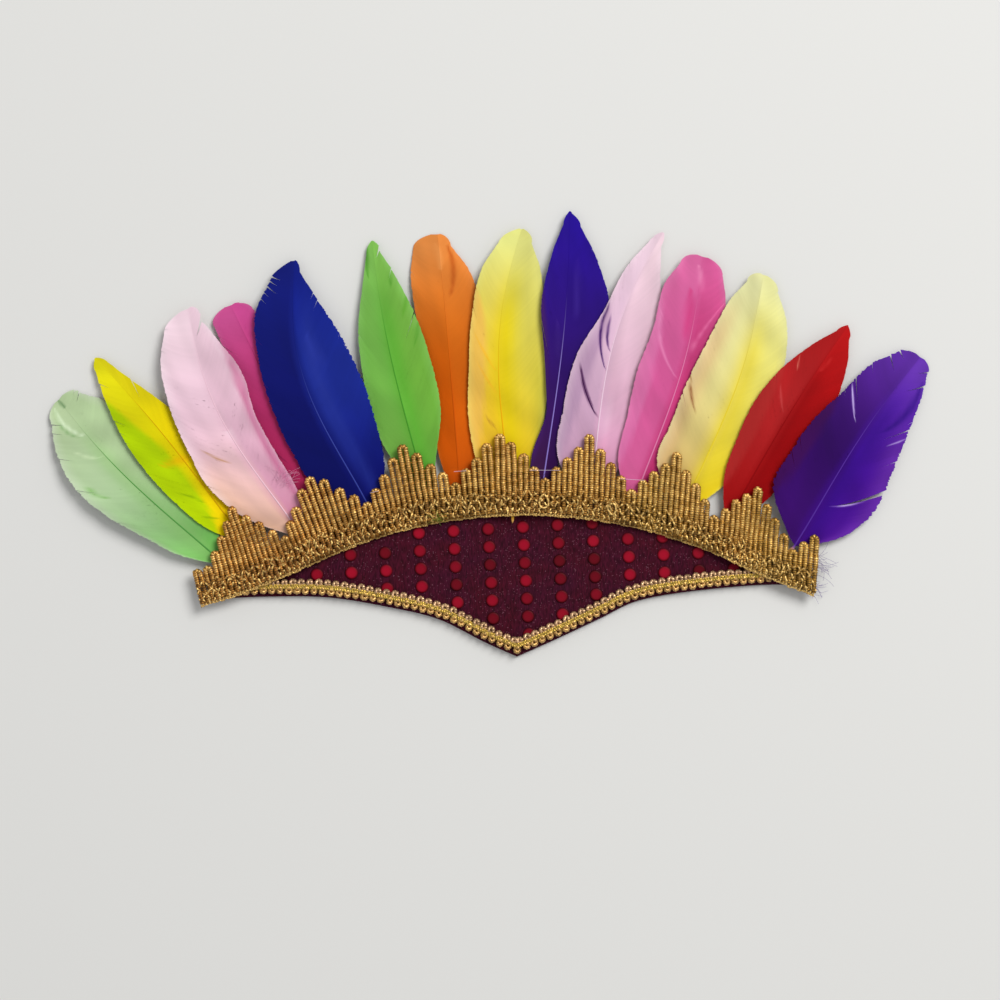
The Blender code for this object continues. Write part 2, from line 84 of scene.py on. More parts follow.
# %% Gather arrays into a piece
class Heap:
    """Gathers arrays of points, faces and colours, to become one piece."""

    def __init__(self):
        self.points, self.faces, self.colours, self.normals, self.count = [], [], [], [], 0

    def add(self, points, faces, colour, normals=None):
        """Points (n, 3), faces counted from 0, a colour for each point or for all, and normals for the
        corners of each array of faces, where the piece has its own."""
        flat = points.reshape(-1, 3)
        self.points.append(flat)
        self.faces += [f + self.count for f in faces]
        self.colours.append(np.broadcast_to(colour, points.shape).reshape(-1, 3))
        self.normals += normals if normals else [np.zeros((f.size, 3)) for f in faces]
        self.count += len(flat)

    def piece(self, name, material, node, slot):
        """Everything gathered as one object that takes the place of a node of the solid model. A normal
        of zero length leaves that corner to Blender's own smooth shading."""
        points, normals = np.concatenate(self.points), np.concatenate(self.normals)
        corners = np.concatenate([np.full(len(f), f.shape[1]) for f in self.faces])
        around = np.concatenate([f.ravel() for f in self.faces]).astype(np.int32)
        starts = np.concatenate([[0], np.cumsum(corners)[:-1]]).astype(np.int32)
        mesh = bpy.data.meshes.new(name)
        mesh.vertices.add(len(points))
        mesh.vertices.foreach_set("co", np.asarray(points, np.float32).ravel())
        mesh.loops.add(len(around))
        mesh.loops.foreach_set("vertex_index", around)
        mesh.polygons.add(len(corners))
        mesh.polygons.foreach_set("loop_start", starts)
        mesh.polygons.foreach_set("use_smooth", np.ones(len(corners), bool))
        mesh.update(calc_edges=True)
        if normals.any():
            mesh.normals_split_custom_set(normals)
        rgba = np.ones((len(points), 4), np.float32)
        rgba[:, :3] = np.concatenate(self.colours)
        # The colours, with their painted shade and highlights, go to the mesh as one attribute
        mesh.attributes.new("dye", "FLOAT_COLOR", "POINT").data.foreach_set("color", rgba.ravel())
        mesh.materials.append(material)
        piece = bpy.data.objects.new(name, mesh)
        bpy.context.scene.collection.objects.link(piece)
        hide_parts(node)
        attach(piece, "root")
        print(f"{name}: {len(points)} points, {int((corners - 2).sum())} triangles")
        return piece


# %% Small helpers for shapes
def ease(x):
    """Rises smoothly from 0 to 1: 3x squared less 2x cubed."""
    x = np.clip(x, 0.0, 1.0)
    return x * x * (3 - 2 * x)


def smooth(places, values, at):
    """Reads a short table at many places, along cubic pieces whose slopes come from the neighbours."""
    places = np.asarray(places, float)
    values = np.asarray(values, float)
    at = np.clip(at, places[0], places[-1])
    low = np.maximum(np.arange(len(places)) - 1, 0)
    high = np.minimum(np.arange(len(places)) + 1, len(places) - 1)
    slope = (values[high] - values[low]) / (places[high] - places[low])
    i = np.clip(np.searchsorted(places, at, side="right") - 1, 0, len(places) - 2)
    step = places[i + 1] - places[i]
    t = (at - places[i]) / step
    return ((2 * t ** 3 - 3 * t ** 2 + 1) * values[i] + (t ** 3 - 2 * t ** 2 + t) * step * slope[i]
            + (3 * t ** 2 - 2 * t ** 3) * values[i + 1] + (t ** 3 - t ** 2) * step * slope[i + 1])


def square_to(lines, axis=0):
    """Unit directions in the plane, square to flat lines and to the left of their way."""
    along = np.gradient(lines, axis=axis)
    along /= np.linalg.norm(along, axis=-1, keepdims=True)
    return np.stack([-along[..., 1], along[..., 0]], -1)


def run_along(line):
    """Length along one line at each of its points."""
    return np.concatenate([[0], np.cumsum(np.linalg.norm(np.diff(line, axis=0), axis=1))])


WANDER_VALUES = 4096


def wander(x, step, seed):
    """Smooth random wandering from -1 to 1 along x, with one free value every step."""
    table = np.random.default_rng(seed).uniform(-1, 1, WANDER_VALUES)
    place = np.asarray(x, float) / step
    low = np.floor(place).astype(int)
    share = ease(place - low)
    return table[low % WANDER_VALUES] * (1 - share) + table[(low + 1) % WANDER_VALUES] * share


def tubes(lines, radius, sides=8, lobes=0, depth=0.0, lay=1.0, flat=1.0, bead=0.0):
    """Tubes round many lines at once, lines (L, N, 3). A ring stands square to its line: its points are
    centre + r (cos a side + sin a up), and r = radius (1 + depth cos(lobes (a - 2 pi l / lay))) at length
    l, so that as many strands as lobes seem to wind round each other. flat squeezes the up direction, and
    bead is the step of a swelling along the line, as where one stitch follows another. Also gives a
    painted shade for each point, dark in the furrows and on the under side, and with bead a painted
    highlight on each stitch and painted shade between them."""
    ahead = np.gradient(lines, axis=1)
    step = np.linalg.norm(np.diff(lines, axis=1), axis=2)
    length = np.concatenate([np.zeros((len(lines), 1)), np.cumsum(step, axis=1)], axis=1)
    ahead /= np.linalg.norm(ahead, axis=2, keepdims=True)
    up = np.array([0.0, 0.0, 1.0]) - ahead[..., 2:] * ahead
    up /= np.linalg.norm(up, axis=2, keepdims=True)
    side = np.cross(ahead, up)
    angle = -2 * np.pi * np.arange(sides) / sides
    turn = 2 * np.pi * length[..., None] / lay
    size = np.broadcast_to(radius, lines.shape[:2])[..., None]
    swell = size * (1 + depth * np.cos(lobes * (angle - turn)))
    across = (swell * np.cos(angle))[..., None] * side[:, :, None, :]
    high = (swell * np.sin(angle))[..., None] * flat * up[:, :, None, :]
    crown = 0.5 + 0.5 * np.cos(lobes * (angle - turn)) if lobes else np.ones_like(swell)
    # Painted shade: dark in the furrows between the strands and on the under side
    shade = (0.25 + 0.75 * crown) * (0.75 + 0.25 * np.sin(angle))
    if bead:
        beat = 0.5 + 0.5 * np.cos(2 * np.pi * (length + 7.3 * lines[:, :1, 0]) / bead)[..., None]
        # With stitches, a painted highlight on each stitch and painted shade between them
        shade = (0.55 + 0.45 * crown) * (0.3 + 0.7 * beat) * (0.8 + 0.2 * np.sin(angle))
        across, high = across * (0.86 + 0.14 * beat)[..., None], high * (0.86 + 0.14 * beat)[..., None]
    points = lines[:, :, None, :] + across + high
    return points, grid_faces(len(lines), lines.shape[1], sides), shade[..., None]


# %% [markdown]
# ## Camera, floor and light
#
# The photograph was taken from above the table, so the camera looks straight down. It stands
# well back with a long lens, so that the raised lace isn't drawn larger than the flat tips. The light
# comes softly from the upper right, and leaves faint shadows to the left of each feather.

# %% Place the camera
PIXEL, PHOTO_WIDTH = 0.00048, 1000
# The photograph's middle, in its pixels from the headdress's origin
MIDDLE_X, MIDDLE_Y = -21 * PIXEL, 80 * PIXEL
CAMERA_HEIGHT, SUBJECT_HEIGHT = 1.2, 0.005
SENSOR = 36.0

camera_data = bpy.data.cameras.new("camera")
camera_data.sensor_width = SENSOR
camera_data.lens = SENSOR * (CAMERA_HEIGHT - SUBJECT_HEIGHT) / (PHOTO_WIDTH * PIXEL)
camera = bpy.data.objects.new("camera", camera_data)
camera.location = (MIDDLE_X, MIDDLE_Y, CAMERA_HEIGHT)
bpy.context.scene.collection.objects.link(camera)
bpy.context.scene.camera = camera
print("lens", round(camera_data.lens, 1), "mm")


# %% Helpers for materials
def set_up(tree, node, **values):
    """Sets a node's sockets and properties by name, and links those that get another node's output."""
    for key, value in values.items():
        socket = key.replace("_", " ")
        if socket not in node.inputs:
            setattr(node, key, value)
        elif isinstance(value, bpy.types.NodeSocket):
            tree.links.new(value, node.inputs[socket])
        else:
            node.inputs[socket].default_value = value
    return node


def add_node(tree, kind, **values):
    """A new shader node, set up by name."""
    return set_up(tree, tree.nodes.new(kind), **values)


def ranged(tree, value, low, high, to_low, to_high):
    """The socket of a value moved from one range into another."""
    return add_node(tree, "ShaderNodeMapRange", Value=value, From_Min=low, From_Max=high, To_Min=to_low,
                    To_Max=to_high).outputs["Result"]


def scaled(tree, colour, by):
    """The socket of a colour times a number."""
    product = add_node(tree, "ShaderNodeVectorMath", operation="SCALE", Vector=colour, Scale=by)
    return product.outputs["Vector"]


def principled(name, **values):
    """A material with its Principled shader set up by name, its node tree and that shader."""
    material = bpy.data.materials.new(name)
    material.use_nodes = True
    tree = material.node_tree
    return material, tree, set_up(tree, tree.nodes["Principled BSDF"], **values)


# %% Make the floor and the light
FLOOR_SIZE = 6.0
FLOOR_COLOUR = (*linear((222, 221, 217)), 1.0)
SKY_COLOUR, SKY_STRENGTH = (0.95, 0.96, 0.98, 1.0), 0.53
WINDOW_PLACE, WINDOW_SIZE, WINDOW_POWER = np.array([1.4, 1.6, 2.4]), 1.7, 75.0

floor_mesh = bpy.data.meshes.new("floor")
half = FLOOR_SIZE / 2
floor_mesh.from_pydata([(-half, -half, 0), (half, -half, 0), (half, half, 0), (-half, half, 0)], [],
                       [(0, 1, 2, 3)])
floor_mesh.materials.append(principled("floor_cloth", Base_Color=FLOOR_COLOUR, Roughness=0.9)[0])
floor = bpy.data.objects.new("floor", floor_mesh)
bpy.context.scene.collection.objects.link(floor)

world = bpy.data.worlds.new("studio")
world.use_nodes = True
set_up(world.node_tree, world.node_tree.nodes["Background"], Color=SKY_COLOUR, Strength=SKY_STRENGTH)
bpy.context.scene.world = world

light_data = bpy.data.lights.new("window", "AREA")
light_data.shape = "DISK"
light_data.size = WINDOW_SIZE
light_data.energy = WINDOW_POWER
light = bpy.data.objects.new("window", light_data)
light.location = WINDOW_PLACE
aim = np.array([MIDDLE_X, MIDDLE_Y, 0.0]) - WINDOW_PLACE
light.rotation_euler = (math.acos(-aim[2] / np.linalg.norm(aim)), 0.0, math.atan2(-aim[0], aim[1]))
bpy.context.scene.collection.objects.link(light)
bpy.context.scene.view_settings.view_transform = "Standard"
print("window", round(float(np.linalg.norm(aim)), 2), "m away")

# %% [markdown]
# ## The band's lines
#
# Everything on the headdress follows two lines of the band: its arched top, where the lace's foot
# lies, and its pointed lower edge, which the gimp follows. Both are given here with the same sizes
# as the solid model has, in metres.

# %% The arch and the lower edge
GAP = 0.0003
PAD_THICKNESS = 0.0026
POINT_X, POINT_Y, POINT_DEPTH = -0.0019, -0.037, 0.035
LEFT_ARM, RIGHT_ARM = 0.150, 0.1416
BAND_TOP, BAND_TOP_LEFT, BAND_TOP_RIGHT = 0.015, 0.153, 0.137
LEFT_EDGE = ((0.0, 0.1, 0.25, 0.4, 0.6, 0.8, 1.0), (0.0, 0.19, 0.51, 0.67, 0.81, 0.825, 0.785))
RIGHT_EDGE = ((0.0, 0.13, 0.29, 0.39, 0.5, 0.7, 0.88, 1.0),
              (0.0, 0.235, 0.54, 0.74, 0.845, 0.945, 0.99, 0.95))
ARC_X, ARC_TOP_Y, ARC_RADIUS, ARC_HALF, END_RADIUS = 0.0019, 0.031, 0.233, 0.105, 0.340
ARC_CENTRE = np.array([ARC_X, ARC_TOP_Y - ARC_RADIUS])


def arc_point(s):
    """The arch at arc length s from its middle: a circle that flattens past ARC_HALF. Gives its points
    and its angle from level."""
    s = np.asarray(s, float)
    side = np.where(s >= 0, 1.0, -1.0)
    run = np.abs(s)
    turn = np.minimum(run, ARC_HALF) / ARC_RADIUS
    end = turn - np.maximum(run - ARC_HALF, 0.0) / END_RADIUS
    x = ARC_RADIUS * np.sin(turn) + END_RADIUS * (np.sin(turn) - np.sin(end))
    drop = ARC_RADIUS * (1 - np.cos(turn)) + END_RADIUS * (np.cos(end) - np.cos(turn))
    return np.stack([ARC_X + side * x, ARC_TOP_Y - drop], -1), side * end


def above_arc(s, height):
    """The point square above the arch at arc length s."""
    point, turn = arc_point(s)
    return point + np.asarray(height)[..., None] * np.stack([np.sin(turn), np.cos(turn)], -1)


def edge_height(x):
    """Y of the lower edge at x, from the left arm's table or the right arm's."""
    left = smooth(*LEFT_EDGE, (POINT_X - x) / LEFT_ARM)
    right = smooth(*RIGHT_EDGE, (x - POINT_X) / RIGHT_ARM)
    return POINT_Y + POINT_DEPTH * np.where(x < POINT_X, left, right)


print("arch spans", arc_point([-BAND_TOP_LEFT, BAND_TOP_RIGHT])[0][:, 0].round(4), "m")

# %% [markdown]
# ## What a feather is
#
# A feather is a horny quill with a vane on each side, and a vane is a row of hair-thin barbs that
# lean towards the tip and hook onto each other. Where the hooks let go, the vane splits. A flat
# leaf with a picture of barbs would look like card, so each barb here is a thin strip of its own, some
# three hundred on a side, laid like shingles. The outline comes from a table of half widths.

# %% Feather sizes
FEATHER_LENGTH, FEATHER_HALF, FEATHER_SPAN = 0.125, 0.020, 0.150
LACE_PEAK = 0.040
VANE_THICKNESS, VANE_TILT, BOW_SKEW = 0.0008, 0.08, 1.25
QUILL_RADIUS, QUILL_SEAT, QUILL_TAIL = 0.0010, 0.004, 0.004
SEQUIN_RAISE = 0.0003
FLAT_REACH, CREST_REACH, CREST_RISE, CREST_DROP = 0.025, 0.115, 0.0022, 0.0028
WIDTH_PLACES = (0.0, 0.15, 0.32, 0.5, 0.68, 0.85, 0.95)
FOOT_WIDTH = 0.1
# How the outline closes at the tip: 0.5 is a round end, and near 1 a pointed one
ROUND_TIP = 0.5
TIP_POWERS = {"lime": 0.9, "green": 0.9, "yellow": 0.75, "violet": 1.1, "pink": 0.8, "red": 1.1,
              "blue": 0.7}

# One row for each feather, as in the solid model: foot along the band and up the lace, lean in degrees,
# length, bow, tilt of its left and right side, lift, rise of its tip, and its half widths
FEATHER_COLUMNS = ("name", "along", "up", "lean", "length", "bow", "left_tilt", "right_tilt", "lift",
                   "tip_rise", "left", "right")
FEATHERS = (
    ("feather_01_mint", -0.977, 0.44, -45.3, 0.89, -0.029, 1, -1, 0.0, -1.6,
     (0.55, 0.79, 1.01, 1.07, 0.82, 0.48), (0.63, 0.96, 1.10, 1.01, 0.86, 0.53)),
    ("feather_02_lime", -0.877, 0.59, -39.5, 0.911, 0.018, 1, -1, 0.0, 0.6,
     (0.57, 0.79, 0.88, 0.77, 0.48, 0.22), (0.60, 0.66, 0.65, 0.47, 0.25, 0.15)),
    ("feather_03_blush", -0.697, 0.37, -26.4, 0.977, -0.075, 1, 1, 0.9, 1.6,
     (0.83, 1.13, 1.07, 1.02, 0.93, 0.70), (0.54, 0.68, 0.77, 0.92, 0.54, 0.26)),
    ("feather_04_magenta", -0.627, 0.38, -22.6, 0.919, 0.017, -1, -1, 0.0, -0.4,
     (0.34, 0.57, 0.69, 0.67, 0.61, 0.59), (0.37, 0.43, 0.45, 0.52, 0.59, 0.44)),
    ("feather_05_blue", -0.473, 0.29, -17.0, 1.024, -0.096, 1, 1, 0.4, 2.2,
     (0.89, 0.99, 0.96, 0.95, 0.94, 0.59), (0.80, 1.17, 1.33, 1.12, 0.56, 0.16)),
    ("feather_06_green", -0.297, 0.30, -12.2, 1.022, -0.023, -1, 1, 0.0, 0.4,
     (0.54, 0.79, 0.76, 0.64, 0.35, 0.18), (0.45, 0.86, 0.93, 0.79, 0.45, 0.16)),
    ("feather_07_orange", -0.197, 0.235, -5.1, 1.03, 0.004, -1, -1, 0.0, -1.3,
     (0.42, 0.52, 0.60, 0.71, 0.75, 0.63), (0.51, 0.71, 0.86, 0.91, 0.68, 0.29)),
    ("feather_08_yellow", -0.039, 0.01, 1.8, 1.102, -0.067, 1, -1, 0.0, 0.8,
     (0.68, 0.81, 0.72, 0.71, 0.69, 0.45), (0.51, 0.99, 1.19, 1.08, 0.75, 0.34)),
    ("feather_09_violet", 0.047, 0.13, 5.8, 1.138, 0.021, 1, -1, 0.4, 2.4,
     (0.36, 0.17, 0.40, 0.60, 0.40, 0.15), (0.30, 0.53, 0.80, 1.06, 0.67, 0.27)),
    ("feather_10_pink", 0.199, 0.11, 15.2, 1.11, -0.068, 1, -1, 0.0, 0.8,
     (0.90, 0.90, 0.80, 0.46, 0.38, 0.20), (0.55, 0.91, 1.09, 1.00, 0.46, 0.13)),
    ("feather_11_rose", 0.333, 0.265, 15.7, 0.994, 0.041, 1, -1, 0.0, 1.4,
     (0.71, 0.89, 1.03, 0.93, 0.86, 0.53), (0.37, 0.57, 0.69, 0.73, 0.70, 0.54)),
    ("feather_12_cream", 0.483, 0.34, 19.0, 0.966, 0.042, 1, -1, 0.0, 0.8,
     (1.03, 1.13, 1.16, 1.00, 0.73, 0.38), (0.66, 0.82, 0.88, 0.95, 0.76, 0.42)),
    ("feather_13_red", 0.62, 0.44, 31.8, 0.882, -0.016, 1, -1, 0.0, 0.2,
     (0.60, 0.79, 0.88, 0.75, 0.43, 0.15), (0.55, 0.76, 0.84, 0.81, 0.53, 0.21)),
    ("feather_14_purple", 0.852, 0.49, 33.9, 0.874, -0.027, 1, -1, 0.0, -1.9,
     (1.17, 1.26, 1.20, 0.98, 0.84, 0.54), (0.90, 1.25, 1.13, 0.92, 0.65, 0.40)),
)


# %% The feather's surface
def crest(point):
    """Height shared by all feathers: level on the band, then a low hump, then down to the tips."""
    reach = np.linalg.norm(point - ARC_CENTRE, axis=-1) - ARC_RADIUS
    t = np.maximum(reach - FLAT_REACH, 0.0) / CREST_REACH
    level = PAD_THICKNESS + SEQUIN_RAISE + GAP + QUILL_RADIUS
    return level + CREST_RISE * 4 * t * (1 - t) - CREST_DROP * t * t


class Feather:
    """A row of the table as a surface of two parameters: share t of the length, offset from the quill."""

    def __init__(self, row):
        self.row = dict(zip(FEATHER_COLUMNS, row))
        self.name = self.row["name"]
        self.colour = self.name.split("_")[2]
        self.root = above_arc(self.row["along"] * FEATHER_SPAN, self.row["up"] * LACE_PEAK)
        self.length = self.row["length"] * FEATHER_LENGTH
        lean = math.radians(self.row["lean"])
        self.axis = np.array([math.sin(lean), math.cos(lean)])
        self.across = np.array([self.axis[1], -self.axis[0]])
        self.tail = max(self.row["up"] * LACE_PEAK - QUILL_SEAT, QUILL_TAIL) / self.length

    def side(self, t):
        """The quill's bow off the straight line: bow times sin(pi t to the power 1.25)."""
        return self.row["bow"] * self.length * np.sin(np.pi * np.maximum(t, 0.0) ** BOW_SKEW)

    def half_width(self, t, sign):
        """Half width of one side from its table, closed past the last entry by (1 - past squared) to the
        tip's power, which is a quarter ellipse for 0.5."""
        table = self.row["left" if sign < 0 else "right"]
        width = smooth(WIDTH_PLACES, (FOOT_WIDTH,) + table, t) * FEATHER_HALF
        last = WIDTH_PLACES[-1]
        past = np.clip((t - last) / (1 - last), 0.0, 1.0)
        return width * (1 - past ** 2) ** TIP_POWERS.get(self.colour, ROUND_TIP)

    def place(self, t, offset):
        """Point at share t and an offset to the right of the quill."""
        t = np.asarray(t, float)
        off = self.side(t) + offset
        return self.root + t[..., None] * self.length * self.axis + off[..., None] * self.across

    def height(self, point, t, offset):
        """Height of the vane: the shared crest, the lift, the tip's bend and the tilt of its side."""
        tilt = np.where(offset < 0, self.row["left_tilt"], self.row["right_tilt"])
        bend = self.row["tip_rise"] * VANE_THICKNESS * np.maximum(t, 0.0) ** 3
        return crest(point) + self.row["lift"] * VANE_THICKNESS + bend + tilt * VANE_TILT * np.abs(offset)

    def locate(self, point):
        """Share and offset of any point, and how far inside the outline it is."""
        way = point - self.root
        t = way @ self.axis / self.length
        offset = way @ self.across - self.side(np.clip(t, 0, 1))
        width = np.where(offset < 0, self.half_width(t, -1), self.half_width(t, 1))
        inside = np.where((t > 0) & (t < 1), width - np.abs(offset), -1.0)
        return t, offset, inside

    def top_at(self, point):
        """Height of the upper side over each point, or minus 1 beside the feather."""
        t, offset, inside = self.locate(point)
        quill = (t > -self.tail) & (t <= 0) & (np.abs(offset) < QUILL_RADIUS)
        return np.where((inside > 0) | quill, self.height(point, t, offset) + QUILL_RADIUS, -1.0)


feathers = {feather.colour: feather for feather in map(Feather, FEATHERS)}
print(len(feathers), "feathers, longest", round(max(f.length for f in feathers.values()), 4), "m")

# %% [markdown]
# ## The dyes
#
# Each feather was dipped in one dye, which takes more strongly on the quill's side and pales at the tip.
# The vanes are thin, so where one lies over another the lower one's colour shows through. A table
# gives the colours at the foot, the middle and the tip, for the left and the right vane, and the colour
# that shows where a neighbour lies beneath. A second table has the few single marks of each feather,
# painted shade along folds and painted highlights among them, and on the blue feather the core beside
# the quill is a painted highlight too. A painted image would do this too, but tables and bell curves
# stay sharp and are easy to change.

# %% Dye table
# Each row: dye of the left and right vane at foot, middle and tip; the quill's colour and where it
# starts to fade into the vane; the neighbour beneath and the colour that shows there; core: a second
# colour beside the quill with its offset, spread and strength; rim: colour and strength at the outline;
# veil: colour and strength on one half, from a share of the barb outwards and below a share of the length
QUILL_FADE, QUILL_BLEND = 0.55, 0.35
DYES = {
    "mint": dict(
        left=((122, 186, 96), (170, 200, 150), (176, 196, 152)),
        right=((110, 184, 84), (166, 196, 142), (172, 194, 148)), quill=(84, 150, 70),
        core=((138, 186, 108), -0.001, 0.004, 0.45), rim=((206, 214, 194), 0.45)),
    "lime": dict(
        left=((246, 214, 0), (222, 208, 0), (222, 214, 20)),
        right=((252, 206, 0), (222, 198, 0), (224, 212, 20)), quill=(214, 170, 0), under="mint",
        tint=(168, 206, 0)),
    "blush": dict(
        left=((226, 180, 160), (230, 190, 202), (236, 208, 218)),
        right=((212, 140, 168), (228, 182, 200), (234, 202, 214)), quill=(236, 196, 208), under="magenta",
        tint=(204, 114, 152), rim=((240, 222, 228), 0.4), veil=((214, 172, 140), 0.6, -1, 0.0, 0.5)),
    "magenta": dict(
        left=((176, 40, 84), (180, 46, 100), (200, 80, 142)),
        right=((166, 32, 74), (166, 36, 86), (196, 72, 138)), quill=(150, 30, 80),
        rim=((212, 120, 164), 0.35)),
    # The blue feather's core, right of its quill, is a painted highlight
    "blue": dict(
        left=((5, 10, 84), (8, 14, 92), (14, 24, 112)), right=((8, 12, 98), (26, 42, 142), (17, 29, 124)),
        quill=(54, 66, 152), core=((42, 56, 150), 0.0065, 0.0035, 0.55), fade=0.35),
    "green": dict(
        left=((116, 172, 70), (118, 182, 76), (128, 190, 86)),
        right=((106, 168, 62), (112, 172, 62), (122, 180, 78)), quill=(72, 150, 44),
        core=((84, 176, 48), 0.002, 0.0045, 0.5), rim=((146, 204, 112), 0.4)),
    "orange": dict(
        left=((198, 82, 4), (206, 92, 6), (222, 136, 66)),
        right=((202, 84, 4), (208, 98, 10), (222, 132, 60)), quill=(196, 82, 4), fade=0.3,
        rim=((226, 142, 78), 0.3)),
    "yellow": dict(
        left=((236, 184, 48), (232, 196, 52), (216, 216, 126)),
        right=((234, 190, 20), (218, 200, 66), (214, 212, 122)), quill=(236, 176, 10), under="orange",
        tint=(232, 182, 84), core=((224, 198, 4), 0.0025, 0.0055, 0.75), rim=((218, 218, 140), 0.3),
        fade=0.35, veil=((186, 182, 66), 0.65, 1, 0.4, 0.66)),
    "violet": dict(
        left=((60, 24, 62), (46, 14, 104), (36, 8, 140)),
        right=((48, 12, 62), (44, 12, 104), (34, 6, 140)), quill=(138, 118, 196), under="yellow",
        tint=(62, 26, 92), fade=0.4),
    "pink": dict(
        left=((198, 152, 182), (206, 168, 192), (226, 198, 210)),
        right=((222, 150, 188), (228, 184, 204), (232, 204, 212)), quill=(236, 206, 222), under="violet",
        tint=(178, 142, 172), rim=((236, 214, 222), 0.4)),
    "rose": dict(
        left=((212, 96, 150), (208, 88, 146), (206, 98, 150)),
        right=((198, 50, 112), (196, 56, 114), (204, 86, 142)), quill=(222, 128, 172), under="pink",
        tint=(214, 112, 164), core=((204, 60, 124), 0.003, 0.004, 0.45), rim=((218, 130, 172), 0.4)),
    "cream": dict(
        left=((212, 176, 104), (216, 204, 132), (218, 216, 158)),
        right=((236, 206, 22), (224, 212, 92), (218, 216, 150)), quill=(232, 208, 50),
        veil=((206, 168, 122), 0.9, -1, 0.4, 0.92), core=((222, 200, 52), 0.0015, 0.0055, 0.65),
        rim=((222, 222, 168), 0.4), fade=0.4),
    "red": dict(
        left=((158, 12, 14), (172, 30, 32), (170, 20, 22)),
        right=((152, 4, 8), (156, 4, 8), (168, 14, 16)), quill=(140, 6, 10), under="cream",
        tint=(172, 40, 38), core=((140, 4, 8), 0.002, 0.0025, 0.5), fade=0.45),
    "purple": dict(
        left=((58, 10, 104), (48, 6, 92), (92, 42, 158)),
        right=((70, 14, 136), (64, 12, 138), (98, 50, 166)), quill=(84, 44, 150), under="red",
        tint=(58, 8, 76), core=((46, 4, 124), 0.004, 0.005, 0.5),
        veil=((122, 60, 176), 0.6, 1, 0.45, 0.8)),
}
DYE_PLACES = (0.08, 0.5, 0.95)
print("dyes for", len(DYES), "feathers")

